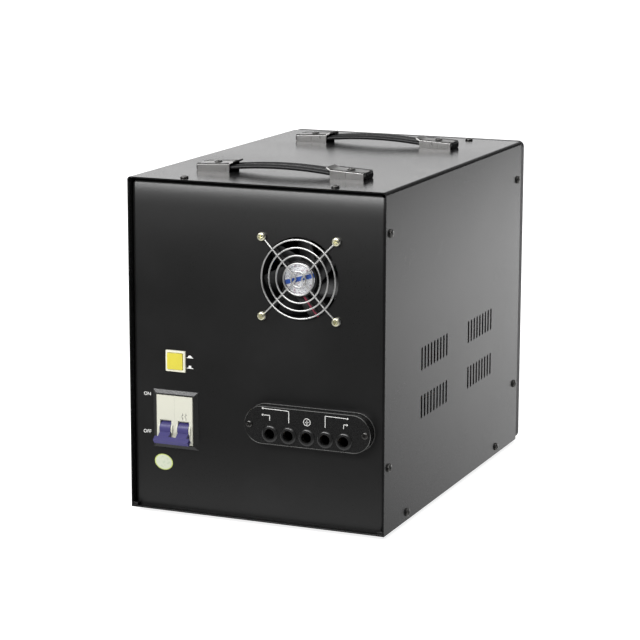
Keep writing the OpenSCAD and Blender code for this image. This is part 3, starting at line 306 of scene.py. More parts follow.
def rounded_rectangle(w: float, h: float, r: float, steps: int = 6) -> np.ndarray:
    """Corner arcs of radius r about (w/2 - r, h/2 - r), anticlockwise from the right.

    Args:
        w: Width.
        h: Height.
        r: Corner radius.
        steps: Stretches in each corner.

    Returns:
        Points (4 (steps + 1), 2).
    """
    arc = np.linspace(0, np.pi / 2, steps + 1)
    parts = []
    for k, (sx, sy) in enumerate([(1, 1), (-1, 1), (-1, -1), (1, -1)]):
        a = arc + k * np.pi / 2
        parts.append(
            np.column_stack([sx * (w / 2 - r) + r * np.cos(a), sy * (h / 2 - r) + r * np.sin(a)])
        )
    return np.vstack(parts)


def ellipse(rx: float, ry: float, count: int = 48) -> np.ndarray:
    """Points (rx cos a, ry sin a)."""
    a = np.linspace(0, 2 * np.pi, count, endpoint=False)
    return np.column_stack([rx * np.cos(a), ry * np.sin(a)])


def smoothed(bends: Sequence[Sequence[float]], count: int, passes: int) -> np.ndarray:
    """A line through corner points, evenly divided between them, with its corners worn round.

    In each pass every inner point becomes a quarter of each neighbour and half of itself.

    Args:
        bends: Corner points (n, 3).
        count: Points on the line.
        passes: How often it is smoothed.

    Returns:
        Points (count, 3).
    """
    at = np.linspace(0, len(bends) - 1, count)
    line = np.column_stack([np.interp(at, range(len(bends)), axis) for axis in np.array(bends).T])
    for _ in range(passes):
        line[1:-1] = (line[:-2] + line[1:-1] * 2 + line[2:]) / 4
    return line


def stroke(points: Sequence[tuple[float, float]], width: float, high: float) -> Shell:
    """A printed line of one width: each stretch is a thin bar with its ends run half a width on.

    Args:
        points: Corners of the line.
        width: Width of the line.
        high: Half the height of the ink.

    Returns:
        The bars as one shell.
    """
    bars = []
    for a, b in zip(points[:-1], points[1:]):
        a, b = np.array(a, float), np.array(b, float)
        ahead = (b - a) / np.linalg.norm(b - a) * width / 2
        side = np.array([-ahead[1], ahead[0]])
        outline = np.array([a - ahead - side, b + ahead - side, b + ahead + side, a - ahead + side])
        bars.append(Shell.prism(outline, -high, high))
    return Shell.join(bars)


def arc_band(r0: float, r1: float, start: float, end: float, high: float, steps: int = 40) -> Shell:
    """A flat band round the origin.

    Args:
        r0: Inner radius.
        r1: Outer radius.
        start: First angle in degrees from +X.
        end: Last angle.
        high: Half the height of the ink.
        steps: Stations along the band.

    Returns:
        The band.
    """
    a = np.radians(np.linspace(start, end, steps))
    rings = [
        lifted(np.column_stack([r * np.cos(a), r * np.sin(a)]), z)
        for r, z in ((r0, -high), (r1, -high), (r1, high), (r0, high))
    ]
    return Shell.loft(np.stack(rings, 1))


def lettering(text: str, size: float, high: float) -> Shell:
    """Sets figures and plain words in Blender's own font as thin raised shapes about the origin.

    Args:
        text: The figures or words.
        size: Height of the type.
        high: Half the height of the ink.

    Returns:
        The shapes, their loops filled by the font's own faces.
    """
    curve = bpy.data.curves.new("lettering", "FONT")
    curve.body, curve.size = text, size
    curve.align_x, curve.align_y = "CENTER", "CENTER"
    curve.extrude = high
    curve.resolution_u = 3
    made = bpy.data.objects.new("lettering", curve)
    bpy.context.scene.collection.objects.link(made)
    bpy.context.view_layer.update()
    mesh = made.evaluated_get(bpy.context.evaluated_depsgraph_get()).to_mesh()
    points = np.zeros(len(mesh.vertices) * 3, np.float32)
    mesh.vertices.foreach_get("co", points)
    faces = [tuple(p.vertices) for p in mesh.polygons]
    bpy.data.objects.remove(made)
    bpy.data.curves.remove(curve)
    return Shell(points.reshape(-1, 3).astype(float), faces)


# Shader graphs


class Signal:
    """One output of a shader graph. Arithmetic on it adds the Math nodes that work it out."""

    def __init__(self, graph: Graph, socket: bpy.types.NodeSocket) -> None:
        """Keeps the socket and the graph that holds it."""
        self.graph = graph
        self.socket = socket

    def _math(self, operation: str, *values: Signal | float) -> Signal:
        """Adds one Math node."""
        return self.graph.add("ShaderNodeMath", {"operation": operation}, dict(enumerate(values)))

    def __add__(self, other: Signal | float) -> Signal:
        """Sum."""
        return self._math("ADD", self, other)

    __radd__ = __add__

    def __sub__(self, other: Signal | float) -> Signal:
        """Difference."""
        return self._math("SUBTRACT", self, other)

    def __rsub__(self, other: float) -> Signal:
        """Difference from a number."""
        return self._math("SUBTRACT", other, self)

    def __mul__(self, other: Signal | float) -> Signal:
        """Product."""
        return self._math("MULTIPLY", self, other)

    def __truediv__(self, other: Signal | float) -> Signal:
        """Quotient."""
        return self._math("DIVIDE", self, other)

    def __pow__(self, other: float) -> Signal:
        """Power."""
        return self._math("POWER", self, other)

    def __lt__(self, other: Signal | float) -> Signal:
        """1 where it is less, otherwise 0."""
        return self._math("LESS_THAN", self, other)

    def sine(self) -> Signal:
        """Sine of the value in radians."""
        return self._math("SINE", self)

    def absolute(self) -> Signal:
        """Value without its sign."""
        return self._math("ABSOLUTE", self)

    def angle_from(self, other: Signal) -> Signal:
        """Angle whose tangent is this over the other."""
        return self._math("ARCTAN2", self, other)

    def rise(self, low: float, high: float) -> Signal:
        """0 up to the low end of a range, 1 from its high end, straight between them."""
        return self.graph.add("ShaderNodeMapRange", None,
                              {"Value": self, "From Min": low, "From Max": high})

    def between(self, low: float, high: float, out_low: float = 0.0,
                out_high: float = 1.0) -> Signal:
        """Stretches the range from low to high over the output range, smoothly and clamped."""
        ends = {"From Min": low, "From Max": high, "To Min": out_low, "To Max": out_high}
        return self.graph.add("ShaderNodeMapRange", {"interpolation_type": "SMOOTHSTEP"},
                              {"Value": self, **ends})


Value = Signal | float | Sequence[float]


class Graph:
    """The node tree of one material, or of the world."""

    def __init__(self, owner: bpy.types.Material | bpy.types.World, shader: str,
                 output: str) -> None:
        """Empties the owner's tree and wires one shader to one output.

        Args:
            owner: The material or world.
            shader: Type of the shader node.
            output: Type of the output node.
        """
        owner.use_nodes = True
        self.owner = owner
        self.tree = owner.node_tree
        self.tree.nodes.clear()
        self.shader = self.tree.nodes.new(shader)
        end = self.tree.nodes.new(output)
        self.tree.links.new(self.shader.outputs[0], end.inputs[0])

    @classmethod
    def of_material(cls, name: str) -> Graph:
        """A new material with a Principled shader."""
        return cls(bpy.data.materials.new(name), "ShaderNodeBsdfPrincipled",
                   "ShaderNodeOutputMaterial")

    def add(self, kind: str, settings: Mapping[str, object] | None = None,
            inputs: Mapping[str | int, Value] | None = None, output: str | int = 0) -> Signal:
        """Adds a node of any type.

        Args:
            kind: The node's type.
            settings: Its properties, which are set first.
            inputs: Values or signals by socket name, identifier or index.
            output: Name, identifier or index of the output wanted.

        Returns:
            The chosen output.
        """
        node = self.tree.nodes.new(kind)
        for key, value in (settings or {}).items():
            setattr(node, key, value)
        for key, value in (inputs or {}).items():
            self.feed(self._socket(node.inputs, key), value)
        return Signal(self, self._socket(node.outputs, output))

    def feed(self, socket: bpy.types.NodeSocket, value: Value) -> None:
        """Links a signal to a socket, or sets its number or colour.

        Args:
            socket: The input socket.
            value: What it gets.
        """
        if isinstance(value, Signal):
            self.tree.links.new(value.socket, socket)
        elif socket.type == "RGBA" and not isinstance(value, (int, float)):
            socket.default_value = (*tuple(value)[:3], 1.0)
        else:
            socket.default_value = value

    @staticmethod
    def _socket(sockets: bpy.types.bpy_prop_collection, key: str | int) -> bpy.types.NodeSocket:
        """Finds a socket.

        Args:
            sockets: A node's inputs or outputs.
            key: The socket's index, identifier or name.

        Returns:
            The socket. Of several with one name it is the one in use.
        """
        if isinstance(key, int):
            return sockets[key]
        for socket in sockets:
            if socket.identifier == key:
                return socket
        return next(s for s in sockets if s.name == key and s.enabled)

    def place(self, stretch: Sequence[float] = (1, 1, 1),
              shift: Sequence[float] = (0, 0, 0)) -> Signal:
        """Object coordinates in metres, stretched and then shifted.

        Args:
            stretch: Factor along each axis.
            shift: What is added along each axis.

        Returns:
            The coordinates.
        """
        coordinates = self.add("ShaderNodeTexCoord", output="Object")
        return self.add("ShaderNodeMapping", None,
                        {"Vector": coordinates, "Location": shift, "Scale": stretch})

    def axes(self, vector: Signal) -> tuple[Signal, Signal, Signal]:
        """Takes a vector apart.

        Args:
            vector: The vector signal.

        Returns:
            Its x, y and z.
        """
        x = self.add("ShaderNodeSeparateXYZ", None, {0: vector}, "X")
        node = x.socket.node
        return x, Signal(self, node.outputs["Y"]), Signal(self, node.outputs["Z"])

    def noise(self, vector: Signal, scale: float, detail: float = 2.0,
              rough: float = 0.5) -> Signal:
        """Noise whose features are one over scale metres wide, about 0.5."""
        inputs = {"Vector": vector, "Scale": scale, "Detail": detail, "Roughness": rough}
        return self.add("ShaderNodeTexNoise", None, inputs, "Fac")

    def blend(self, factor: Value, a: Value, b: Value) -> Signal:
        """Colour a where factor is 0 and b where it is 1."""
        return self.add("ShaderNodeMix", {"data_type": "RGBA"},
                        {"Factor_Float": factor, "A_Color": a, "B_Color": b}, "Result_Color")

    def bump(self, height: Signal, depth: float, strength: float = 1.0,
             soft: float = 0.0) -> Signal:
        """A normal bent by a height, where 1 of height is depth metres.

        Args:
            height: The height signal.
            depth: Metres for a height of 1.
            strength: Share of the effect.
            soft: Radius in metres by which hard edges look rounded, or 0.

        Returns:
            The normal.
        """
        inputs: dict[str | int, Value] = {"Height": height, "Distance": depth, "Strength": strength}
        if soft > 0:
            inputs["Normal"] = self.add("ShaderNodeBevel", {"samples": 4}, {"Radius": soft})
        return self.add("ShaderNodeBump", None, inputs)

    def surface(self, **sockets: Value) -> bpy.types.Material:
        """Feeds the shader's sockets.

        Args:
            **sockets: Values or signals by socket name, with underscores for spaces.

        Returns:
            The material or world that owns the graph.
        """
        for name, value in sockets.items():
            self.feed(self._socket(self.shader.inputs, name.replace("_", " ")), value)
        return self.owner


# Finishes


Colour = tuple[float, float, float]


def shaded(colour: Colour, share: float) -> Colour:
    """A colour with each part multiplied by a share."""
    return tuple(c * share for c in colour)


@dataclass(frozen=True)
class Finish:
    """A named finish. Each kind builds its own graph."""

    name: str

    def material(self) -> bpy.types.Material:
        """The finish's material, built once."""
        return bpy.data.materials.get(self.name) or self.build(Graph.of_material(self.name))

    def build(self, graph: Graph) -> bpy.types.Material:
        """Wires the graph."""
        return graph.surface()


@dataclass(frozen=True)
class PowderCoat(Finish):
    """Baked powder paint: fine orange peel, faint handling dust and slightly rounded edges.

    A sheet with a folded upper edge at the height bow_top may bow, each bow in metres: fold_bow
    by the cube of the nearness over fold_span, sheet_bow by its square over sheet_span, and
    foot_bow by the square from the first of the heights foot_span down to the second.
    """

    colour: Colour = (0.006, 0.006, 0.0062)
    roughness: float = 0.34
    peel: float = 1100.0
    depth: float = 0.00003
    edge: float = 0.0005
    bow_top: float = 0.0
    fold_bow: float = 0.0026
    fold_span: float = 0.026
    sheet_bow: float = 0.0085
    sheet_span: float = 0.11
    foot_bow: float = 0.0
    foot_span: tuple[float, float] = (0.084, 0.004)
    dust: Colour = (0.09, 0.09, 0.094)

    def build(self, graph: Graph) -> bpy.types.Material:
        """Orange peel in the normal, dust in colour and roughness.

        Args:
            graph: The new material's graph.

        Returns:
            The material.
        """
        at = graph.place()
        peel = graph.noise(at, self.peel, 3.0, 0.6)
        cloud = graph.noise(at, 9.0, 5.0, 0.62)
        speck = graph.noise(at, 620.0, 2.0).between(0.66, 0.74)
        dust = cloud.between(0.45, 0.8) * 0.35 + speck * 0.25
        return graph.surface(
            Base_Color=graph.blend(dust * 0.1, self.colour, self.dust),
            Roughness=peel.between(0.3, 0.7, self.roughness - 0.05, self.roughness + 0.06)
            + cloud.between(0.35, 0.75, -0.01, 0.02),
            Normal=self.relief(graph, peel),
        )

    def relief(self, graph: Graph, peel: Signal) -> Signal:
        """Orange peel, and the bow of the sheet where it has one.

        Args:
            graph: The material's graph.
            peel: The orange peel's height.

        Returns:
            The bent normal.
        """
        if not self.bow_top:
            return graph.bump(peel, self.depth, 0.6, self.edge)
        _, _, z = graph.axes(graph.place())
        fold = z.rise(self.bow_top - self.fold_span, self.bow_top)
        sheet = z.rise(self.bow_top - self.sheet_span, self.bow_top)
        bow = fold ** 3 * self.fold_bow + sheet ** 2 * self.sheet_bow
        bow = bow + z.rise(*self.foot_span) ** 2 * self.foot_bow
        return graph.bump(peel * self.depth * 0.6 - bow, 1.0)


@dataclass(frozen=True)
class Moulded(Finish):
    """Moulded plastic or rubber with spark-eroded grain."""

    colour: Colour = (0.02, 0.02, 0.021)
    roughness: float = 0.5
    grain: float = 900.0
    depth: float = 0.00003
    gloss: float = 0.0
    edge: float = 0.0004
    tint: Colour | None = None
    shine: float = 0.5

    def build(self, graph: Graph) -> bpy.types.Material:
        """Grain in the normal, and a slow drift of tone and gloss.

        Args:
            graph: The new material's graph.

        Returns:
            The material.
        """
        at = graph.place()
        grain = graph.noise(at, self.grain, 3.0, 0.55)
        drift = graph.noise(at, 24.0, 4.0)
        worn = self.tint or tuple(min(1.0, c * 1.25 + 0.004) for c in self.colour)
        return graph.surface(
            Base_Color=graph.blend(drift.between(0.35, 0.8) * 0.45, self.colour, worn),
            Roughness=grain.between(0.3, 0.7, self.roughness - 0.06, self.roughness + 0.06),
            Coat_Weight=self.gloss,
            Coat_Roughness=0.12,
            Specular_IOR_Level=self.shine,
            Normal=graph.bump(grain, self.depth, 0.6, self.edge),
        )


@dataclass(frozen=True)
class BareMetal(Finish):
    """Rolled, plated or machined metal: streaks along one axis and tarnish."""

    colour: Colour = (0.6, 0.6, 0.6)
    roughness: float = 0.3
    streak: tuple[float, float, float] = (1.0, 14.0, 14.0)
    depth: float = 0.00001
    tarnish: Colour = (0.3, 0.3, 0.3)
    edge: float = 0.0003

    def build(self, graph: Graph) -> bpy.types.Material:
        """Streaks in roughness and normal, tarnish in colour.

        Args:
            graph: The new material's graph.

        Returns:
            The material.
        """
        along = graph.noise(graph.place(stretch=self.streak), 90.0, 4.0, 0.65)
        spots = graph.noise(graph.place(), 70.0, 5.0, 0.6)
        return graph.surface(
            Base_Color=graph.blend(spots.between(0.5, 0.78) * 0.5, self.colour, self.tarnish),
            Metallic=1.0,
            Roughness=along.between(0.25, 0.75, self.roughness - 0.08, self.roughness + 0.12),
            Normal=graph.bump(along, self.depth, 0.5, self.edge),
        )


@dataclass(frozen=True)
class PrintInk(Finish):
    """Screen-printed ink, very slightly uneven."""

    colour: Colour = (0.75, 0.75, 0.73)
    roughness: float = 0.55

    def build(self, graph: Graph) -> bpy.types.Material:
        """A faint mottle where the ink lies thinner.

        Args:
            graph: The new material's graph.

        Returns:
            The material.
        """
        thin = graph.noise(graph.place(), 1400.0, 2.0).between(0.35, 0.75)
        return graph.surface(
            Base_Color=graph.blend(thin * 0.5, self.colour, shaded(self.colour, 0.8)),
            Roughness=thin * 0.1 + self.roughness,
        )


@dataclass(frozen=True)
class WoundWire(Finish):
    """Enamelled wire in turns about a vertical axis; a few turns are darker, and the grooves carry
    painted shade.
    """

    colour: Colour = (0.42, 0.13, 0.035)
    centre: tuple[float, float] = (0.0, 0.0)
    turns: float = 260.0

    def build(self, graph: Graph) -> bpy.types.Material:
        """Stripes by the angle about the axis: the sine of the angle times the turns, with painted
        shade in the grooves.

        Args:
            graph: The new material's graph.

        Returns:
            The material.
        """
        x, y, _ = graph.axes(graph.place(shift=(-self.centre[0], -self.centre[1], 0)))
        angle = y.angle_from(x)
        ridge = (angle * self.turns).sine() * 0.5 + 0.5
        slow = (angle * (self.turns / 7)).sine() * 0.5 + graph.noise(graph.place(), 60.0, 3.0)
        # painted shade: the colour darkens to a quarter in the grooves between turns
        shade = ridge.between(0.0, 0.5) * 0.8 + 0.2
        copper = graph.blend(slow.between(0.2, 1.0), self.colour, shaded(self.colour, 0.6))
        return graph.surface(
            Base_Color=graph.blend(shade, shaded(self.colour, 0.25), copper),
            Metallic=0.75,
            Roughness=0.3 + slow.between(0.0, 1.2, 0.0, 0.12),
            Normal=graph.bump(ridge, 0.0003, 0.7),
        )


@dataclass(frozen=True)
class LayerWound(Finish):
    """A coil wound in level layers under clear varnish, with painted shade between the layers."""

    colour: Colour = (0.4, 0.12, 0.03)
    pitch: float = 0.0012

    def build(self, graph: Graph) -> bpy.types.Material:
        """Level ridges: the sine of the height over the wire's pitch, darkened between layers as
        painted shade.

        Args:
            graph: The new material's graph.

        Returns:
            The material.
        """
        _, _, z = graph.axes(graph.place())
        ridge = (z * (2 * math.pi / self.pitch)).sine() * 0.5 + 0.5
        varnish = graph.noise(graph.place(), 110.0, 4.0).between(0.4, 0.75)
        # painted shade: the colour falls to 0.3 in the grooves between layers
        wire = graph.blend(ridge.between(0.1, 0.6), shaded(self.colour, 0.3), self.colour)
        return graph.surface(
            Base_Color=graph.blend(varnish * 0.5, wire, (0.16, 0.06, 0.015)),
            Metallic=0.55,
            Roughness=varnish * -0.12 + 0.4,
            Coat_Weight=0.4,
            Normal=graph.bump(ridge, 0.00025, 0.7),
        )


@dataclass(frozen=True)
class Laminated(Finish):
    """Stacked electrical steel: thin sheets seen edge on, with a bloom of rust."""

    axis: int = 1
    sheet: float = 0.0011
    colour: Colour = (0.2, 0.2, 0.21)

    def build(self, graph: Graph) -> bpy.types.Material:
        """Stripes across the stack: the sine of the place over the sheet's thickness.

        Args:
            graph: The new material's graph.

        Returns:
            The material.
        """
        parts = graph.axes(graph.place())
        edge = (parts[self.axis] * (2 * math.pi / self.sheet)).sine() * 0.5 + 0.5
        rust = graph.noise(graph.place(), 55.0, 6.0, 0.7).between(0.55, 0.75)
        steel = graph.blend(edge * 0.6, self.colour, shaded(self.colour, 0.45))
        return graph.surface(
            Base_Color=graph.blend(rust * 0.5, steel, (0.11, 0.045, 0.02)),
            Metallic=0.75,
            Roughness=rust * 0.3 + 0.42,
            Normal=graph.bump(edge, 0.0002, 0.5),
        )


@dataclass(frozen=True)
class CircuitBoard(Finish):
    """Green solder mask over copper tracks, with tinned pads in a grid."""

    colour: Colour = (0.012, 0.075, 0.03)
    grid: float = 0.00508

    def build(self, graph: Graph) -> bpy.types.Material:
        """Tracks from a stepped noise, and pads where both grid sines peak.

        Args:
            graph: The new material's graph.

        Returns:
            The material.
        """
        at = graph.place()
        x, _, z = graph.axes(at)
        step = 2 * math.pi / self.grid
        pad = ((x * step).sine() * (z * step).sine()).between(0.86, 0.93)
        copper = graph.noise(graph.place(stretch=(1, 1, 3)), 90.0, 1.0).between(0.49, 0.51)
        mask = graph.blend(copper * 0.7, self.colour, (0.02, 0.14, 0.05))
        return graph.surface(
            Base_Color=graph.blend(pad, mask, (0.5, 0.48, 0.44)),
            Metallic=pad * 0.8,
            Roughness=0.34 - pad * 0.1,
            Coat_Weight=0.3,
            Normal=graph.bump(copper * 0.4 + pad, 0.00005, 0.5),
        )


@dataclass(frozen=True)
class ClearWindow(Finish):
    """A clear moulded window, lightly smudged."""

    def build(self, graph: Graph) -> bpy.types.Material:
        """Full transmission, with smudges in the roughness.

        Args:
            graph: The new material's graph.

        Returns:
            The material.
        """
        smudge = graph.noise(graph.place(), 45.0, 4.0).between(0.45, 0.8)
        return graph.surface(
            Base_Color=(0.96, 0.98, 0.98),
            Roughness=smudge * 0.06 + 0.02,
            Transmission_Weight=1.0,
            IOR=1.2,
        )


@dataclass(frozen=True)
class LampLens(Finish):
    """Tinted translucent lens with a diffusing pattern."""

    colour: Colour = (0.05, 0.6, 0.1)

    def build(self, graph: Graph) -> bpy.types.Material:
        """Small facets in the normal.

        Args:
            graph: The new material's graph.

        Returns:
            The material.
        """
        facet = graph.noise(graph.place(), 900.0, 1.0)
        return graph.surface(
            Base_Color=graph.blend(facet.between(0.4, 0.7) * 0.3, self.colour, (0.8, 0.8, 0.7)),
            Roughness=facet * 0.1 + 0.12,
            Coat_Weight=0.6,
            Subsurface_Weight=0.3,
            Subsurface_Scale=0.002,
            Normal=graph.bump(facet, 0.0001, 0.4),
        )


@dataclass(frozen=True)
class HubFoil(Finish):
    """Bright foil label with one blue band across its middle, round a centre."""

    centre: tuple[float, float, float] = (0.0, 0.0, 0.0)
    band: float = 0.0021
    lean: float = 0.29

    def build(self, graph: Graph) -> bpy.types.Material:
        """The band is where the height over the centre, less a small lean, stays under its width.

        Args:
            graph: The new material's graph.

        Returns:
            The material.
        """
        at = graph.place(shift=tuple(-c for c in self.centre))
        x, _, z = graph.axes(at)
        blue = 1 - (z - x * self.lean).absolute().between(self.band * 0.9, self.band * 1.1)
        crease = graph.noise(graph.place(stretch=(1, 1, 2)), 520.0, 3.0, 0.6)
        stain = graph.noise(at, 330.0, 2.0)
        foil = graph.blend(crease.between(0.47, 0.66), (0.86, 0.87, 0.88), (0.26, 0.27, 0.34))
        foil = graph.blend(stain.between(0.58, 0.64) * 0.6, foil, (0.3, 0.1, 0.16))
        return graph.surface(
            Base_Color=graph.blend(blue, foil, (0.022, 0.07, 0.3)),
            Metallic=0.55 - blue * 0.5,
            Roughness=crease * 0.2 + 0.25,
            Normal=graph.bump(crease, 0.00008, 0.5),
        )


@dataclass(frozen=True)
class OvalSticker(Finish):
    """Pale paper sticker with a yellow-green rim."""

    centre: tuple[float, float] = (0.0, 0.0)
    radii: tuple[float, float] = (0.009, 0.0075)
    lean: float = 0.0

    def build(self, graph: Graph) -> bpy.types.Material:
        """The rim is where the squared distance over the squared radii nears 1.

        Args:
            graph: The new material's graph.

        Returns:
            The material.
        """
        x, _, z = graph.axes(graph.place(shift=(-self.centre[0], 0.0, -self.centre[1])))
        c, s = math.cos(self.lean), math.sin(self.lean)
        u, v = (x * c + z * s) / self.radii[0], (z * c - x * s) / self.radii[1]
        out = u * u + v * v
        fibre = graph.noise(graph.place(), 700.0, 4.0)
        mottle = graph.noise(graph.place(), 420.0, 2.0).between(0.48, 0.62) * (out < 0.5)
        paper = graph.blend(mottle * 0.45, (0.47, 0.5, 0.39), (0.33, 0.4, 0.28))
        return graph.surface(
            Base_Color=graph.blend(out.between(0.74, 0.84), paper, (0.4, 0.47, 0.13)),
            Roughness=fibre * 0.2 + 0.38,
            Normal=graph.bump(fibre, 0.00003, 0.4),
        )


class Finishes:
    """Every finish of the stabilizer."""

    case_paint = PowderCoat("satin_black_powder_coat")
    cover_paint = PowderCoat("cover_black_powder_coat", roughness=0.21, depth=0.000016,
                             bow_top=FRAME.roof, fold_bow=0.0, sheet_bow=0.004)
    panel_paint = PowderCoat("panel_black_powder_coat", (0.005, 0.005, 0.005), 0.33,
                             bow_top=FRAME.roof, foot_bow=0.006)
    fascia = Moulded("fascia_black_plastic", (0.022, 0.022, 0.024), 0.46, 700.0, 0.00005)
    meter_case = Moulded("meter_black_plastic", (0.012, 0.012, 0.013), 0.28, 300.0, 0.00001, 0.3)
    black_plastic = Moulded("black_moulded_plastic", (0.008, 0.008, 0.0085), 0.4, 800.0, 0.00003)
    cable_cover = Moulded("cable_cover_black_plastic", (0.006, 0.006, 0.006), 0.27, 900.0, 0.000008,
                          0.0, 0.0)
    # painted highlights: light beads that stand for the light on the cable cover's edges
    cover_painted_highlight_rim = BareMetal("cable_cover_painted_highlight_rim", (0.24, 0.24, 0.235), 0.24, (1, 1, 1), 0.000004,
                          (0.12, 0.12, 0.12), 0.0)
    cover_painted_highlight_line = Moulded("cable_cover_painted_highlight_line", (0.07, 0.07, 0.068), 0.3, 900.0, 0.000004, 0.2)
    grommet = Moulded("grommet_black_rubber", (0.008, 0.008, 0.008), 0.22, 900.0, 0.000004, 0.0,
                      0.0)
    blade_plastic = Moulded("fan_blade_black_plastic", (0.006, 0.006, 0.0065), 0.55, 800.0, 0.00003)
    frame_plastic = Moulded("breaker_frame_plastic", (0.009, 0.009, 0.009), 0.33, 900.0, 0.00002)
    rubber = Moulded("black_rubber", (0.012, 0.012, 0.012), 0.62, 650.0, 0.00004, 0.0, 0.0005,
                     (0.03, 0.03, 0.03))
    strap = Moulded("strap_black_plastic", (0.008, 0.008, 0.0085), 0.3, 420.0, 0.000004, edge=0.0,
                    shine=0.25)
    breaker = Moulded("breaker_off_white_plastic", (0.5, 0.5, 0.425), 0.4, 700.0, 0.00001, 0.05,
                      0.0005, (0.54, 0.53, 0.44))
    breaker_shade = Moulded("breaker_grey_print", (0.14, 0.14, 0.13), 0.5, 900.0, 0.00001)
    lever = Moulded("lever_blue_violet_plastic", (0.037, 0.031, 0.135), 0.42, 500.0, 0.00001, 0.0,
                    0.0006, (0.05, 0.043, 0.17))
    white_bezel = Moulded("bezel_white_plastic", (0.6, 0.59, 0.48), 0.34, 500.0, 0.00001, 0.1)
    yellow_button = Moulded("button_yellow_plastic", (0.53, 0.46, 0.033), 0.36, 500.0, 0.00001, 0.1,
                            0.0, (0.58, 0.52, 0.07))
    cap_steel = BareMetal("bare_cap_steel", (0.33, 0.325, 0.32), 0.33, (14.0, 14.0, 1.0), 0.00001,
                          (0.19, 0.186, 0.18), 0.0)
    # painted shade: black hairlines along the caps' bends stand for the dark they reflect
    painted_bend_shade = Moulded("painted_bend_shade_black", (0.012, 0.012, 0.012), 0.6, 900.0, 0.000004, 0.0, 0.0)
    guard_wire = BareMetal("bright_guard_wire", (0.66, 0.66, 0.65), 0.38, (1, 1, 1), 0.000004,
                           (0.5, 0.49, 0.48), 0.0)
    yellow_zinc = BareMetal("yellow_zinc_screws", (0.9, 0.88, 0.66), 0.3, (1, 1, 1), 0.000004,
                            (0.74, 0.7, 0.52), 0.0)
    black_screw = BareMetal("blackened_screws", (0.1, 0.098, 0.095), 0.28, (1, 1, 1), 0.000004,
                            (0.06, 0.058, 0.055), 0.0)
    zinc = BareMetal("zinc_plated_steel", (0.55, 0.56, 0.58), 0.32, (1.0, 8.0, 8.0), 0.00001,
                     (0.36, 0.37, 0.4))
    brass = BareMetal("cast_brass", (0.62, 0.42, 0.16), 0.36, (1, 1, 1), 0.00002, (0.3, 0.19, 0.08))
    motor = BareMetal("motor_housing", (0.34, 0.35, 0.36), 0.4, (9.0, 9.0, 1.0), 0.00001,
                      (0.2, 0.2, 0.21))
    carbon = Moulded("pressed_carbon", (0.02, 0.02, 0.022), 0.5, 1200.0, 0.00003)
    pressboard = Moulded("varnished_pressboard", (0.2, 0.12, 0.055), 0.6, 400.0, 0.00006, 0.1,
                         0.0004, (0.27, 0.17, 0.08))
    relay = Moulded("relay_case_plastic", (0.03, 0.03, 0.04), 0.3, 500.0, 0.00001, 0.2)
    component = Moulded("component_blue_plastic", (0.03, 0.05, 0.2), 0.3, 500.0, 0.00001, 0.2)
    core = Laminated("transformer_laminations", 1)
    ring_core = Laminated("regulator_laminations", 2)
    coil = LayerWound("transformer_winding")
    board = CircuitBoard("control_board_mask")
    window = ClearWindow("meter_window_clear")
    lamp = LampLens("green_lamp_lens")
    white_ink = PrintInk("white_screen_print")
    black_ink = PrintInk("black_dial_print", (0.015, 0.015, 0.015), 0.6)
    red_ink = PrintInk("red_dial_print", (0.5, 0.02, 0.015), 0.6)
    dial_paint = PrintInk("dial_white_paint", (0.78, 0.77, 0.7), 0.5)
    pointer = PrintInk("pointer_red_paint", (0.55, 0.03, 0.02), 0.4)
    red_lead = Moulded("lead_red_insulation", (0.2, 0.022, 0.045), 0.36, 900.0, 0.00001)
    black_lead = Moulded("lead_black_insulation", (0.012, 0.012, 0.012), 0.36, 900.0, 0.00001)


# Workshop


class Workshop:
    """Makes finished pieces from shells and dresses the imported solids."""

    def __init__(self, frame: Mapping[str, object]) -> None:
        """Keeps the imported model's nodes."""
        self.nodes: dict[str, bpy.types.Object] = frame["nodes"]
        self.dressed: set[str] = set()

    def make(self, name: str, shell: Shell, finish: Finish, body: str = CASE,
             stands_for: Sequence[str] = (), sharp: float = 35.0) -> None:
        """Turns a shell into a piece of the scene, with its object at the origin.

        Args:
            name: The piece's name.
            shell: Its shape in case millimetres.
            finish: What it is finished in.
            body: The body it rides on.
            stands_for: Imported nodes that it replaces.
            sharp: Edges bent by more than this, in degrees, stay sharp.
        """
        mesh = bpy.data.meshes.new(name)
        mesh.from_pydata(FRAME.metres(shell.points).tolist(), [], shell.faces)
        mesh.validate()
        mesh.shade_smooth()
        mesh.set_sharp_from_angle(angle=math.radians(sharp))
        mesh.materials.append(finish.material())
        piece = bpy.data.objects.new(name, mesh)
        bpy.context.scene.collection.objects.link(piece)
        if stands_for:
            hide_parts(*stands_for)
            self.dressed.update(stands_for)
        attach(piece, body)
        log.info("%s: %d faces", name, len(shell.faces))

    def dress(self, finish: Finish, *nodes: str) -> None:
        """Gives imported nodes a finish.

        Args:
            finish: The finish.
            *nodes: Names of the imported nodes.
        """
        for name in nodes:
            materials = self.nodes[name].data.materials
            materials.clear()
            materials.append(finish.material())
            self.dressed.add(name)

    def undressed(self) -> list[str]:
        """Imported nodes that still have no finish."""
        return sorted(set(self.nodes) - self.dressed)


# Sub-assemblies


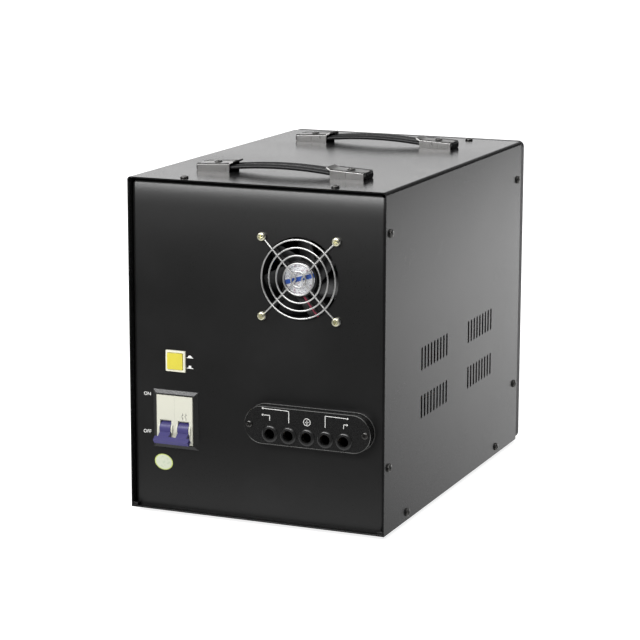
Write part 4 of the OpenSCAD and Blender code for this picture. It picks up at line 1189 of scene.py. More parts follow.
@dataclass
class PanScrews:
    """Pan heads with a Phillips recess on grooved shanks."""

    head: float = 3.8
    rise: float = 2.1
    shank: float = 1.95
    length: float = 7.0
    arm: float = 1.95
    arm_width: float = 0.62
    sink: float = 1.15
    around: int = 48
    crown: float = 0.985
    flat: float = 0.58
    dome: tuple[float, float] = (0.38, 0.6)
    groove: float = 0.4
    thread: tuple[float, float] = (0.86, 0.97)

    def cross(self, turn: np.ndarray) -> np.ndarray:
        """Radius of a cross's outline: the end of an arm, or its flank, whichever is nearer.

        Args:
            turn: Angles in radians.

        Returns:
            One radius for each angle.
        """
        quarter = np.abs((turn + np.pi / 4) % (np.pi / 2) - np.pi / 4)
        flank = self.arm_width / np.maximum(np.sin(quarter), 1e-3)
        return np.minimum(self.arm / np.cos(quarter), flank)

    def one(self) -> Shell:
        """One screw on the origin: rings run from the recess over the dome and down the shank.

        Over the dome the radius goes with the sine of an angle and the height with its cosine.

        Returns:
            The screw.
        """
        turn = np.linspace(0, 2 * np.pi, self.around, endpoint=False)
        cross, head = self.cross(turn), np.full(self.around, self.head)
        shank = np.full(self.around, self.shank)
        foot, tall = self.dome
        rings = [
            (cross * 0.5, self.rise - self.sink),
            (cross * 0.94, self.rise - self.sink * 0.25),
            (cross, self.rise * self.crown),
            (head * self.flat, self.rise * self.crown),
        ]
        for a in np.linspace(0.35, 1.5, 6):
            rings.append((head * (self.flat + (1 - self.flat) * math.sin(a)),
                          self.rise * (foot + tall * math.cos(a))))
        rings += [(head, self.rise * 0.3), (head * 0.985, 0.0), (shank, 0.0)]
        for k, z in enumerate(np.arange(-self.groove, -self.length, -self.groove)):
            rings.append((shank * self.thread[k % 2], z))
        rings.append((shank * 0.6, -self.length))
        return Shell.loft(np.array([
            lifted(np.column_stack([r * np.cos(turn), r * np.sin(turn)]), z) for r, z in rings
        ]))

    def at(self, way: Facing, places: Iterable[tuple[float, float, float]], seed: int) -> Shell:
        """Screws at several places, each turned by its own amount.

        Args:
            way: The way the heads look.
            places: Where the heads seat.
            seed: Seed of the turns.

        Returns:
            The screws.
        """
        spin = np.random.default_rng(seed)
        one = self.one()
        return Shell.join([
            one.turned(float(spin.uniform(0, 90))).facing(way, place) for place in places
        ])


@dataclass
class Case:
    """The folded case, its screws, feet and the prints on its service panel."""

    top_x: tuple[float, float] = (-73.0, 73.0)
    side_z: tuple[float, float] = (61.0, 271.0)
    base_y: tuple[float, float] = (58.0, 311.0)
    base_z: float = 7.6
    screw_in: float = 5.7
    foot_in: tuple[float, float] = (42.0, 48.0)
    foot_seat: float = -1.0
    lip_in: float = 1.3
    lip_front: float = 0.4
    lip_t: float = 1.2
    lip_edge: float = 0.2
    tab: tuple[float, float] = (4.8, 4.2)
    sign_x: float = -66.3
    sign_z: tuple[float, float] = (145.0, 135.3)
    sign_base: tuple[float, float] = (2.9, 3.0)
    sign_line: float = 0.55
    out_r: float = 2.0
    in_block: tuple[float, float, float] = (1.5, 1.1, 2.2)
    words: tuple[tuple[str, float, float], ...] = (("ON", -109.8, 107.5), ("OFF", -110.3, 72.0))
    word_size: float = 4.6
    sticker: tuple[float, float] = (-93.8, 44.7)
    sticker_radii: tuple[float, float] = (9.2, 7.4)
    sticker_lean: float = -9.0
    ink: float = 0.05

    def build(self, shop: Workshop) -> None:
        """Paints the sheet metal and rubber, and adds lip, screws and prints.

        Args:
            shop: Where the pieces are made.
        """
        shop.dress(Finishes.case_paint, "base_tray", "display_panel")
        shop.dress(Finishes.cover_paint, "cover")
        shop.dress(Finishes.panel_paint, "service_panel")
        shop.dress(Finishes.rubber, "rubber_feet")
        shop.make("panel_lower_lip", self.lip(), Finishes.case_paint)
        self.screws(shop)
        shop.make("panel_prints", self.prints(), Finishes.white_ink)
        self.oval(shop)

    def lip(self) -> Shell:
        """The panel's turned lower edge, which closes the recess at the bottom, and its end tabs.

        Returns:
            Three bars.
        """
        half, front, back = FRAME.width / 2 - self.lip_in, self.lip_front, FRAME.recess
        wide, tall = self.tab
        bars = ((-half, half, self.lip_t), (-half, wide - half, tall), (half - wide, half, tall))
        return Shell.join([
            Shell.prism(np.array([[a, front], [b, front], [b, back], [a, back]]), 0.0, high,
                        self.lip_edge)
            for a, b, high in bars
        ])

    def screws(self, shop: Workshop) -> None:
        """Cover and foot screws.

        Args:
            shop: Where the pieces are made.
        """
        screw = PanScrews()
        half = FRAME.width / 2
        ends = (FRAME.recess + self.screw_in, FRAME.depth - FRAME.recess - self.screw_in)
        sides = [(y, z) for y in ends for z in self.side_z]
        sides += [(y, self.base_z) for y in self.base_y]
        cover = Shell.join([
            screw.at(Facing.TOP, [(x, y, FRAME.height) for x in self.top_x for y in ends], 3),
            screw.at(Facing.RIGHT, [(half, y, z) for y, z in sides], 4),
            screw.at(Facing.LEFT, [(-half, y, z) for y, z in sides], 5),
        ])
        shop.make("cover_pan_screws", cover, Finishes.black_screw,
                  stands_for=["cover_screws"])
        across, along = self.foot_in
        feet = [(s * (half - across), y, self.foot_seat) for s in (-1, 1)
                for y in (along, FRAME.depth - along)]
        shop.make("foot_pan_screws", screw.at(Facing.UNDERSIDE, feet, 6), Finishes.zinc,
                  stands_for=["foot_screws"])

    def prints(self) -> Shell:
        """The delay button's two signs, out and in, and the words beside the breaker.

        Returns:
            The printed marks on the panel.
        """
        low, high, tall = self.in_block
        block = np.array([[-low, 0.0], [low, 0.0], [high, tall], [-high, tall]])
        shapes = (arc_band(0.01, self.out_r, 0, 180, self.ink),
                  Shell.prism(block, -self.ink, self.ink))
        marks = []
        for shape, half, z in zip(shapes, self.sign_base, self.sign_z):
            base = stroke([(-half, -0.2), (half, -0.2)], self.sign_line, self.ink)
            marks += [shape.moved(self.sign_x, z), base.moved(self.sign_x, z)]
        marks += [
            lettering(word, self.word_size, self.ink).moved(x, z) for word, x, z in self.words
        ]
        return Shell.join(marks).on_panel(0.0, 0.0)

    def oval(self, shop: Workshop) -> None:
        """The oval sticker, whose finish is laid out round its middle.

        Args:
            shop: Where the piece is made.
        """
        x, z = self.sticker
        centre = FRAME.metres(np.array([x, FRAME.recess, z])).tolist()
        radii = tuple(r * MM for r in self.sticker_radii)
        finish = OvalSticker("pale_oval_sticker", (centre[0], centre[2]), radii,
                             math.radians(self.sticker_lean))
        oval = Shell.prism(ellipse(*self.sticker_radii), -0.05, 0.12, 0.05, 2)
        shop.make("oval_sticker", oval.turned(self.sticker_lean).on_panel(x, z), finish)


@dataclass
class StrapHandle:
    """A bowed strap with beaded edges under two bent steel caps."""

    name: str
    middle_y: float
    middle_x: float = -2.0
    length: float = 163.5
    cap: float = 32.0
    wide: float = 20.0
    thick: float = 3.4
    bead: float = 0.9
    bead_w: float = 4.2
    edge_r: float = 1.7
    dish: float = 0.25
    bow: float = 4.8
    end_out: float = 1.6
    end_round: float = 0.7
    end_size: float = 0.94
    end_tall: float = 5.0
    end_long: float = 5.0
    end_stations: tuple[float, ...] = (0.3, 0.7, 1.2, 4.0, 5.0)
    low: float = 6.4
    high: float = 8.2
    sheet: float = 1.0
    bend: float = 1.05
    # radius of the painted shade lines along the caps' bends
    painted_shade_radius: float = 0.42
    fit: float = 0.3
    lip: float = 4.0
    lip_angle: float = 26.0
    lip_wall: float = 1.3
    screw_up: float = 0.05

    @property
    def half_wide(self) -> float:
        """Half the width over a cap's walls."""
        return self.wide / 2 + self.fit + self.sheet

    @property
    def slope(self) -> float:
        """Slope of a cap's roof."""
        return (self.high - self.low) / self.cap

    def profile(self) -> np.ndarray:
        """Across the strap: round edges, a flat back, and beads that rise as half a cosine.

        Returns:
            Outline points (n, 2), across and up.
        """
        half, middle = self.wide / 2, self.thick / 2
        y = np.linspace(-half, half, 61)
        from_edge = half - np.abs(y)
        bead = 0.5 - 0.5 * np.cos(2 * np.pi * np.clip(from_edge / self.bead_w, 0, 1))
        edge = np.sqrt(np.clip(1 - (1 - np.clip(from_edge / self.edge_r, 0, 1)) ** 2, 0, 1))
        top = middle + (middle - self.dish + (self.bead + self.dish) * bead) * edge
        bottom = middle - middle * edge
        return np.column_stack([np.append(y, y[-2:0:-1]), np.append(top, bottom[-2:0:-1])])

    def strap(self) -> Shell:
        """Carries the profile along the strap.

        Under the caps it slopes as their roofs do. Between them it rises by a parabola,
        lift + (bow - lift) (1 - (x/free)^2). Its ends are taller blocks, and their last
        stretch is rounded by a quarter circle.

        Returns:
            The strap.
        """
        half = self.length / 2 + self.end_out
        free = self.length / 2 - self.cap
        ends = [s * (half - d) for s in (-1, 1) for d in self.end_stations]
        x = np.unique(np.concatenate([np.linspace(-half, half, 97), ends]))
        out = np.abs(x)
        lift = self.slope * (half - free)
        rise = np.where(out > free, lift * (half - out) / (half - free),
                        lift + (self.bow - lift) * (1 - (x / free) ** 2))
        end = np.clip((half - out) / self.end_round, 0, 1)
        grow = self.end_size + (1 - self.end_size) * np.sqrt(end * (2 - end))
        tall = 1 + np.clip(self.end_long - half + out, 0, 1) * (self.end_tall / self.thick - 1)
        across, up = self.profile().T
        y, z = np.outer(grow, across), np.outer(tall * grow, up)
        lean = np.arctan(np.gradient(rise, x))[:, None]
        points = np.stack(
            [x[:, None] - z * np.sin(lean) / 2, y, rise[:, None] + z * (1 + np.cos(lean)) / 2], -1
        )
        return Shell.loft(points).moved(self.middle_x, self.middle_y, FRAME.height + self.fit)

    @staticmethod
    def arch(w: float, h: float, r: float) -> np.ndarray:
        """A channel's outline from foot to foot: two walls that bend into the roof.

        Args:
            w: Half its width.
            h: Its height.
            r: Radius of the bends.

        Returns:
            Points (18, 2).
        """
        arc = np.linspace(0, np.pi / 2, 8)
        right = np.column_stack([w - r + r * np.sin(arc), h - r + r * np.cos(arc)])
        return np.vstack([[-w, 0.0], right[::-1] * np.array([-1, 1]), right, [w, 0.0]])

    def cap_shell(self) -> Shell:
        """A bent channel, taller towards the strap, with its roof turned up as a lip at the end.

        Returns:
            The left cap, with its outer end on the origin.
        """
        sheet = self.sheet
        along = np.concatenate([np.linspace(0, self.cap, 12),
                                self.cap + np.linspace(0.4, self.lip, 6)])
        rings = []
        for x in along:
            height = self.low + self.slope * min(x, self.cap)
            outer = self.arch(self.half_wide, height, self.bend)
            inner = self.arch(self.half_wide - sheet, height - sheet, self.bend - sheet)
            section = np.vstack([outer, inner[::-1]])
            if x > self.cap:
                lift = (x - self.cap) * math.tan(math.radians(self.lip_angle))
                section[:, 1] = np.maximum(section[:, 1], height - self.lip_wall) + lift
            rings.append(np.column_stack([np.full(len(section), x), section]))
        return Shell.loft(np.array(rings))

    def painted_shade_lines(self) -> Shell:
        """A dark hairline of painted shade along each cap's bends.

        Returns:
            Four thin tubes.
        """
        d = np.linspace(0.2, self.cap, 12)
        roof = self.low + self.slope * d
        lines = [
            np.column_stack([s * (self.length / 2 - d), np.full(12, side * self.half_wide), roof])
            for s in (-1, 1) for side in (-1, 1)
        ]
        tubes = [Shell.tube(line, self.painted_shade_radius, 8) for line in lines]
        return Shell.join(tubes).moved(self.middle_x, self.middle_y, FRAME.height)

    def build(self, shop: Workshop) -> None:
        """Strap, caps and the painted shade lines along their bends.

        Args:
            shop: Where the pieces are made.
        """
        shop.make(f"{self.name}_strap_moulding", self.strap(), Finishes.strap,
                  f"{self.name}_grip", [f"{self.name}_strap"], 50.0)
        cap, half = self.cap_shell(), self.length / 2
        caps = [
            cap.moved(self.middle_x - half, self.middle_y, FRAME.height),
            cap.mirrored().moved(self.middle_x + half, self.middle_y, FRAME.height),
        ]
        shop.make(f"{self.name}_bent_caps", Shell.join(caps), Finishes.cap_steel,
                  stands_for=[f"{self.name}_handle_caps"], sharp=40.0)
        # painted shade lines along the caps' bends
        shop.make(f"{self.name}_cap_painted_shade_lines", self.painted_shade_lines(), Finishes.painted_bend_shade)

    def screw_places(self) -> list[tuple[float, float, float]]:
        """Where the cap screws' heads seat: on the roof's middle, clear of its slope.

        Returns:
            Two places.
        """
        seat = (self.low + self.high) / 2 + PanScrews.head * self.slope + self.screw_up
        reach = (self.length - self.cap) / 2
        return [(self.middle_x + s * reach, self.middle_y, FRAME.height + seat) for s in (-1, 1)]


@dataclass
class AxialFan:
    """The fan, its finger guard, label and leads."""

    x: float = 41.4
    z: float = 225.6
    pitch: float = 71.5
    guard: float = 35.4
    rings: int = 5
    wire: float = 1.6
    rise: float = 2.5
    apex: float = 2.2
    knee: float = 1.6
    eye: float = 3.15
    panel: float = 1.2
    screw_in: float = 4.0
    label: float = 14.2
    lead: float = 1.15
    lead_in: float = 1.6
    lead_gap: tuple[float, float] = (0.68, 0.51)
    lead_path: tuple[tuple[float, float, float], ...] = (
        (2.6, -11.0, -1.4), (4.2, -15.2, 0.0), (9.0, -21.6, 0.0), (14.6, -29.0, 0.0),
        (18.6, -34.2, -1.6),
    )

    def guard_shell(self) -> Shell:
        """Rings, two cross wires bent to a point near the middle, and an eyelet at each end.

        Returns:
            The guard on the panel.
        """
        r = self.wire / 2
        parts = []
        for radius in self.guard * (1 - np.arange(self.rings) / self.rings):
            parts.append(Shell.tube(lifted(ellipse(radius, radius, 96), self.rise), r, wrap=True))
        for side in (-1, 1):
            parts.append(Shell.tube(self.cross_wire(side), r))
            for up in (-1, 1):
                eye = ellipse(self.eye, self.eye, 36) + np.array([side, up]) * self.pitch / 2
                parts.append(Shell.tube(lifted(eye, r), r, wrap=True))
        return Shell.join(parts).on_panel(self.x, self.z)

    def cross_wire(self, side: int) -> np.ndarray:
        """One bent wire: a straight run from eyelet to apex and on to the other eyelet.

        The corner at the apex and the drop to the panel are rounded by averaging the
        polyline over nine points.

        Args:
            side: -1 for the left wire and 1 for the right one.

        Returns:
            Its centreline (161, 3).
        """
        out = self.pitch / 2 - self.eye / math.sqrt(2)
        knee = self.guard / math.sqrt(2) + self.knee
        high, foot = self.rise - self.wire * 0.55, self.wire / 2
        bends = np.array([
            [side * out, out, foot],
            [side * knee, knee, high],
            [side * self.apex, 0.0, high],
            [side * knee, -knee, high],
            [side * out, -out, foot],
        ])
        along = np.concatenate([[0], np.cumsum(np.linalg.norm(np.diff(bends, axis=0), axis=1))])
        at = np.linspace(0, along[-1], 161)
        line = np.column_stack([np.interp(at, along, axis) for axis in bends.T])
        padded = np.vstack([np.repeat(line[:1], 4, 0), line, np.repeat(line[-1:], 4, 0)])
        smooth = np.column_stack([np.convolve(axis, np.ones(9) / 9, "valid") for axis in padded.T])
        smooth[0], smooth[-1] = line[0], line[-1]
        return smooth

    def leads(self) -> list[Shell]:
        """Red and black leads: straight out from the hub, then off behind the frame.

        Returns:
            The two leads.
        """
        dx, dy = self.lead_gap
        made = []
        for k in (-1, 1):
            path = np.array(self.lead_path) + [k * dx, k * dy, -self.panel - self.lead_in]
            lead = Shell.tube(smoothed(path, 33, 3), self.lead, 10)
            made.append(lead.on_panel(self.x, self.z))
        return made

    def build(self, shop: Workshop) -> None:
        """Dresses the fan and adds guard, screws, label and leads.

        Args:
            shop: Where the pieces are made.
        """
        shop.dress(Finishes.black_plastic, "fan_frame")
        shop.dress(Finishes.blade_plastic, "fan_rotor")
        shop.make("guard_wires", self.guard_shell(), Finishes.guard_wire,
                  stands_for=["fan_guard"], sharp=60.0)
        half = self.pitch / 2
        places = [(self.x + i * half, FRAME.recess - self.wire, self.z + j * half)
                  for i in (-1, 1) for j in (-1, 1)]
        screw = PanScrews(length=self.wire + self.panel + self.screw_in)
        shop.make("fan_pan_screws", screw.at(Facing.SERVICE, places, 8), Finishes.yellow_zinc,
                  stands_for=["fan_screws"])
        centre = FRAME.metres(np.array([self.x, FRAME.recess + self.panel, self.z]))
        disc = Shell.prism(ellipse(self.label, self.label, 64), 0.0, 0.25, 0.12, 2)
        shop.make("hub_label", disc.on_panel(self.x, self.z, -self.panel - 0.02),
                  HubFoil("hub_foil_label", tuple(centre.tolist())))
        red, black = self.leads()
        shop.make("fan_lead_red", red, Finishes.red_lead)
        shop.make("fan_lead_black", black, Finishes.black_lead)


@dataclass
class Breaker:
    """Two-pole breaker in its raised frame. A sign's bars are x, z, x, z and width."""

    x: float = -81.0
    z: float = 86.0
    high: float = 45.0
    nose: float = 3.0
    seam: float = 0.05
    ink: float = 0.04
    signs: tuple[float, float] = (8.3, 11.6)
    bars: tuple[tuple[float, float, float, float, float], ...] = (
        (0, 0.9, 0, 2.3, 0.5), (0, 2.3, -1.2, 4.6, 0.5), (0, 5.2, 0, 6.8, 0.5),
        (-0.5, 4.8, 0.5, 5.6, 0.45),
    )

    def build(self, shop: Workshop) -> None:
        """Dresses the solids and adds the pole seam and a switch sign for each pole.

        Args:
            shop: Where the pieces are made.
        """
        shop.dress(Finishes.breaker, "breaker_body")
        shop.dress(Finishes.frame_plastic, "breaker_frame")
        shop.dress(Finishes.lever, "breaker_levers", "lever_tie_bar")
        shop.dress(Finishes.zinc, "lever_pin", "breaker_rail", "rail_posts")
        lines = [stroke([(0, -3.0), (0, self.high / 2 - 1.0)], self.seam, self.ink)]
        for x in self.signs:
            lines += [stroke([(x + a, b), (x + c, d)], wide, self.ink)
                      for a, b, c, d, wide in self.bars]
        shop.make("breaker_symbol", Shell.join(lines).on_panel(self.x, self.z, self.nose),
                  Finishes.breaker_shade)


@dataclass
class DelayButton:
    """Square push button in its white bezel."""

    x: float = -80.3
    z: float = 140.8
    bezel: float = 19.7
    bezel_t: float = 2.0
    bezel_r: float = 0.6
    button: float = 15.1
    button_r: float = 0.8
    button_edge: float = 0.5
    out: float = 1.6
    deep: float = 11.5
    fit: float = 0.15
    slope: float = 0.9
    stem: tuple[float, float] = (2.0, 10.4)

    def bezel_shell(self) -> Shell:
        """A square ring with rounded outer and inner edges: rings of one rounded rectangle.

        Returns:
            The bezel.
        """
        half, hole, top = self.bezel / 2, self.button / 2 + self.fit, self.bezel_t
        levels = [(half, 0.0), (half, top - 0.6), (half - 0.2, top - 0.2), (half - 0.6, top),
                  (hole + 0.3, top), (hole, top - 0.3), (hole, 0.0)]
        rings = [lifted(rounded_rectangle(2 * w, 2 * w, self.bezel_r, 5), z) for w, z in levels]
        return Shell.loft(np.array(rings), wrap=True)

    def cap_shell(self) -> Shell:
        """The button's cap, whose right edge is bevelled, and its stem.

        Returns:
            Both, with the cap's face on the origin.
        """
        outline = rounded_rectangle(self.button, self.button, self.button_r, 4)
        cap = Shell.prism(outline, -self.deep, 0.0, self.button_edge)
        bevel = cap.points[:, 0] > self.button / 2 - self.slope
        cap.points[bevel, 2] = np.minimum(cap.points[bevel, 2], -self.slope)
        radius, length = self.stem
        stem = Shell.prism(ellipse(radius, radius, 24), -self.deep - length, -self.deep)
        return Shell.join([cap, stem])

    def build(self, shop: Workshop) -> None:
        """Bezel, button cap and switch body.

        Args:
            shop: Where the pieces are made.
        """
        shop.make("delay_bezel_ring", self.bezel_shell().on_panel(self.x, self.z),
                  Finishes.white_bezel, stands_for=["delay_bezel"])
        cap = self.cap_shell().on_panel(self.x, self.z, self.bezel_t + self.out)
        shop.make("delay_button_cap", cap, Finishes.yellow_button,
                  "delay_plunger", ["delay_button"])
        shop.dress(Finishes.black_plastic, "delay_switch_body")


@dataclass
class CableEntries:
    """The raised terminal cover with its grommets and printed lines.

    A bead is how far it stands off the cover's outline, how far in front of the panel, and its
    radius. Both beads are painted highlights: a bright metal one round the front edge and a grey
    one round the foot. The earth sign's bars are x, z, x, z and width, from the sign's middle.
    """

    x: float = 53.2
    z: float = 92.3
    out: float = 11.0
    wide: float = 120.0
    high: float = 33.0
    drop: float = 7.3
    pitch: float = 17.8
    count: int = 5
    bore: float = 4.8
    flange: float = 7.9
    rise: float = 1.5
    neck: float = 5.8
    inner: float = 6.9
    inner_z: tuple[float, float] = (-3.1, -2.0)
    screws: float = 111.6
    # rim and seam are beads whose light colours are painted highlights on the cover's front edge
    # and foot
    rim: tuple[float, float, float] = (0.5, 10.6, 0.45)
    seam: tuple[float, float, float] = (0.9, 0.4, 0.4)
    ink: float = 0.05
    line: float = 0.5
    dot: float = 0.8
    runs: tuple[tuple[tuple[float, float], ...], ...] = (
        ((10.7, 108.0), (36.0, 107.5), (36.0, 96.9)),
        ((10.6, 102.0), (17.5, 101.9), (17.5, 97.5)),
        ((71.0, 96.2), (71.0, 106.6), (92.2, 106.1)),
        ((88.6, 97.1), (88.6, 100.4), (91.8, 100.4)),
    )
    earth: tuple[float, float] = (53.5, 99.2)
    earth_r: tuple[float, float] = (3.0, 3.45)
    earth_bars: tuple[tuple[float, float, float, float, float], ...] = (
        (0.0, -0.1, 0.0, 2.0, 0.4), (-1.7, -0.1, 1.7, -0.1, 0.4),
        (-1.0, -1.2, 1.0, -1.2, 0.3), (-0.4, -2.1, 0.4, -2.1, 0.3),
    )

    def grommet(self) -> Shell:
        """A collar: the profile runs round the inner flange, the groove and the rounded lip.

        The lip is a quarter arch: its width goes with cos a and its height with sin a.

        Returns:
            The collar.
        """
        b, t, (back, seat) = self.bore, self.rise, self.inner_z
        foot = b + 0.4
        lip = [(foot + (self.flange - foot) * math.cos(a), t * math.sin(a))
               for a in np.linspace(0.15, np.pi / 2, 9)]
        return Shell.revolve([
            (b, back), (self.inner, back), (self.inner, seat), (self.neck, seat), (self.neck, 0.0),
            (self.flange, 0.0), *lip, (b + 0.1, t - 0.1), (b, t - 0.4),
        ])

    def bead(self, grow: float, out: float, radius: float) -> Shell:
        """A fine bead round the cover, a painted highlight line: a circle carried round a stadium.

        Args:
            grow: How far its centreline stands off the cover's outline.
            out: Its distance in front of the panel.
            radius: The circle's radius.

        Returns:
            The bead on the panel.
        """
        high = self.high + 2 * grow
        outline = rounded_rectangle(self.wide + 2 * grow, high, high / 2 - 0.01, 14)
        outline = outline[np.linalg.norm(np.roll(outline, -1, 0) - outline, axis=1) > 0.05]
        return Shell.tube(lifted(outline, out), radius, 8, True).on_panel(self.x, self.z)

    def prints(self) -> Shell:
        """Lines that lead to the entries, dots at their outer ends and the earth sign.

        Returns:
            The marks on the cover's face.
        """
        ends = [run[0] for run in self.runs[:2]] + [run[-1] for run in self.runs[2:]]
        dot = Shell.prism(ellipse(self.dot, self.dot, 20), -self.ink, self.ink)
        parts = [stroke(run, self.line, self.ink) for run in self.runs]
        parts += [dot.moved(*end) for end in ends]
        earth = [arc_band(*self.earth_r, 0, 359.9, self.ink, 64)]
        earth += [stroke([(a, b), (c, d)], wide, self.ink) for a, b, c, d, wide in self.earth_bars]
        parts += [part.moved(*self.earth) for part in earth]
        return Shell.join(parts).on_panel(0.0, 0.0, self.out)

    def build(self, shop: Workshop) -> None:
        """Cover, grommets, screws, painted highlight beads, prints and terminals.

        Args:
            shop: Where the pieces are made.
        """
        shop.dress(Finishes.cable_cover, "terminal_cover")
        shop.dress(Finishes.black_plastic, "terminal_block")
        shop.dress(Finishes.brass, "terminal_screws")
        one = self.grommet()
        collars = [one.on_panel(self.x + (i - 2) * self.pitch, self.z - self.drop, self.out)
                   for i in range(self.count)]
        shop.make("grommet_collars", Shell.join(collars), Finishes.grommet,
                  stands_for=["cable_grommets"])
        screw = PanScrews(head=3.1, rise=1.4, shank=1.75, length=self.out + 3.5, arm=1.6,
                          arm_width=0.5, sink=0.8)
        ends = [(self.x + s * self.screws / 2, FRAME.recess - self.out, self.z) for s in (-1, 1)]
        shop.make("terminal_cover_pan_screws", screw.at(Facing.SERVICE, ends, 9),
                  Finishes.black_screw, stands_for=["terminal_cover_screws"])
        # painted highlights: two light beads along the cover's front edge and its foot
        shop.make("terminal_cover_painted_highlight_rim", self.bead(*self.rim), Finishes.cover_painted_highlight_rim)
        shop.make("terminal_cover_painted_highlight_line", self.bead(*self.seam), Finishes.cover_painted_highlight_line)
        shop.make("terminal_prints", self.prints(), Finishes.white_ink)


@dataclass
class PanelMeter:
    """An analog meter: printed dial, tapered pointer, window and case."""

    name: str
    x: float
    figures: tuple[str, ...]
    unit: str
    minor: int = 5
    z: float = 216.0
    high: float = 66.0
    wall: float = 2.0
    hood_share: float = 0.32
    dial_t: float = 1.0
    sweep: float = 90.0
    ink: float = 0.03
    scale: float = 35.0
    ticks: tuple[float, float] = (4.2, 2.4)
    tick_wide: tuple[float, float] = (0.45, 0.22)
    figure_size: float = 4.4
    figure_out: tuple[float, float] = (43.2, 42.4)
    unit_size: float = 9.0
    unit_up: float = 22.0
    needle: float = 41.0
    needle_z: tuple[float, float] = (1.1, 1.7)
    needle_gap: float = 0.3

    @property
    def pivot(self) -> float:
        """Height of the pointer's pivot over the meter's middle."""
        inner = self.high - 2 * self.wall
        return -inner / 2 + inner * self.hood_share / 2

    def along(self, share: float) -> tuple[float, float]:
        """Cosine and sine of the pointer's angle at a share of its sweep."""
        angle = math.radians(90 + self.sweep / 2 - self.sweep * share)
        return math.cos(angle), math.sin(angle)

    def dial_prints(self) -> tuple[Shell, Shell]:
        """Black scale with figures, and a red band over the last sixth.

        Returns:
            The black and the red print about the pivot.
        """
        r, low, high = self.scale, 90 - self.sweep / 2, 90 + self.sweep / 2
        parts = [arc_band(r, r + 0.35, low, high, self.ink, 60)]
        spaces = len(self.figures) - 1
        steps = spaces * self.minor
        for k in range(steps + 1):
            c, s = self.along(k / steps)
            kind = 0 if k % self.minor == 0 else 1
            end = r + self.ticks[kind]
            tick = [(r * c, r * s), (end * c, end * s)]
            parts.append(stroke(tick, self.tick_wide[kind], self.ink))
        across, up = self.figure_out
        for k, figure in enumerate(self.figures):
            c, s = self.along(k / spaces)
            parts.append(lettering(figure, self.figure_size, self.ink).moved(across * c, up * s))
        parts.append(lettering(self.unit, self.unit_size, self.ink).moved(0, self.unit_up))
        red = arc_band(r - 1.4, r - 0.5, low, low + self.sweep / 6, self.ink, 16)
        return Shell.join(parts), red

    def pointer(self) -> Shell:
        """A blade that tapers to its tip, a counterweight and a domed hub.

        Returns:
            The pointer, upright on its pivot.
        """
        blade = np.array([[-0.75, -8.0], [0.75, -8.0], [0.55, 4.0], [0.12, self.needle],
                          [-0.12, self.needle], [-0.55, 4.0]])
        weight = np.array([[-1.6, -8.0], [1.6, -8.0], [1.1, -4.6], [-1.1, -4.6]])
        hub = Shell.revolve([(0.75, 0.0), (3.0, 0.0), (3.0, 1.5), (2.5, 2.1), (0.75, 2.2)], 40)
        low, high = self.needle_z
        return Shell.join([
            Shell.prism(blade, low, high), Shell.prism(weight, low - 0.1, high + 0.1), hub
        ])

    def build(self, shop: Workshop) -> None:
        """Dresses one meter and adds its prints and pointer.

        Args:
            shop: Where the pieces are made.
        """
        shop.dress(Finishes.meter_case, f"{self.name}_case")
        shop.dress(Finishes.dial_paint, f"{self.name}_dial")
        shop.dress(Finishes.window, f"{self.name}_window")
        face, z = FRAME.depth - FRAME.recess + self.wall + self.dial_t, self.z + self.pivot
        black, red = (
            marks.facing(Facing.DISPLAY, (self.x, face, z)) for marks in self.dial_prints()
        )
        shop.make(f"{self.name}_scale", black, Finishes.black_ink)
        shop.make(f"{self.name}_red_band", red, Finishes.red_ink)
        pointer = self.pointer().turned(self.sweep / 2)
        shop.make(f"{self.name}_pointer_blade",
                  pointer.facing(Facing.DISPLAY, (self.x, face + self.needle_gap, z)),
                  Finishes.pointer, f"{self.name}_pointer", [f"{self.name}_needle"])


@dataclass
class Regulator:
    """The wound ring core with its brush gear and motor."""

    y: float = 255.0
    base: float = 1.5
    pad: float = 3.0
    outer: float = 95.0
    inner: float = 34.2
    high: float = 74.0
    corner: float = 5.0
    turns: int = 240
    ridge: float = 0.35

    def winding(self) -> Shell:
        """A rounded section carried round the axis.

        Each station's section swells and shrinks with the sine of turns times the angle, so
        every turn of wire stands out as a ridge.

        Returns:
            The winding in its place.
        """
        turn = np.linspace(0, 2 * np.pi, self.turns * 4, endpoint=False)
        wide, middle = self.outer - self.inner, (self.outer + self.inner) / 2
        section = rounded_rectangle(wide, self.high, self.corner, 4)
        section = np.vstack([section, section[:1]])
        length = np.concatenate([[0], np.cumsum(np.linalg.norm(np.diff(section, axis=0), axis=1))])
        at = np.linspace(0, length[-1], 57)[:-1]
        outline = np.column_stack([np.interp(at, length, section[:, k]) for k in (0, 1)])
        swell = (np.sin(turn * self.turns) * 0.5 - 0.5) * self.ridge
        r, z = outline.T[:, None] + swell[:, None] * (outline - inset(outline, 1.0)).T[:, None]
        r = middle + r
        rings = np.stack([r * np.cos(turn)[:, None], r * np.sin(turn)[:, None], z], -1)
        return Shell.loft(rings, wrap=True).moved(0, self.y, self.base + self.pad + self.high / 2)

    def build(self, shop: Workshop) -> None:
        """Winding, core, clamp, brush gear and motor.

        Args:
            shop: Where the pieces are made.
        """
        axis = FRAME.metres(np.array([0.0, self.y, 0.0])).tolist()
        wire = WoundWire("regulator_copper_turns", centre=(axis[0], axis[1]))
        shop.make("regulator_turns", self.winding(), wire,
                  stands_for=["regulator_winding"], sharp=70.0)
        shop.dress(Finishes.ring_core, "regulator_core")
        shop.dress(Finishes.pressboard, "regulator_pad")
        shop.dress(Finishes.zinc, "clamp_disc", "clamp_stud", "clamp_nut", "output_shaft",
                   "motor_bridge")
        shop.dress(Finishes.brass, "brush_arm")
        shop.dress(Finishes.carbon, "carbon_brush")
        shop.dress(Finishes.motor, "servo_motor")


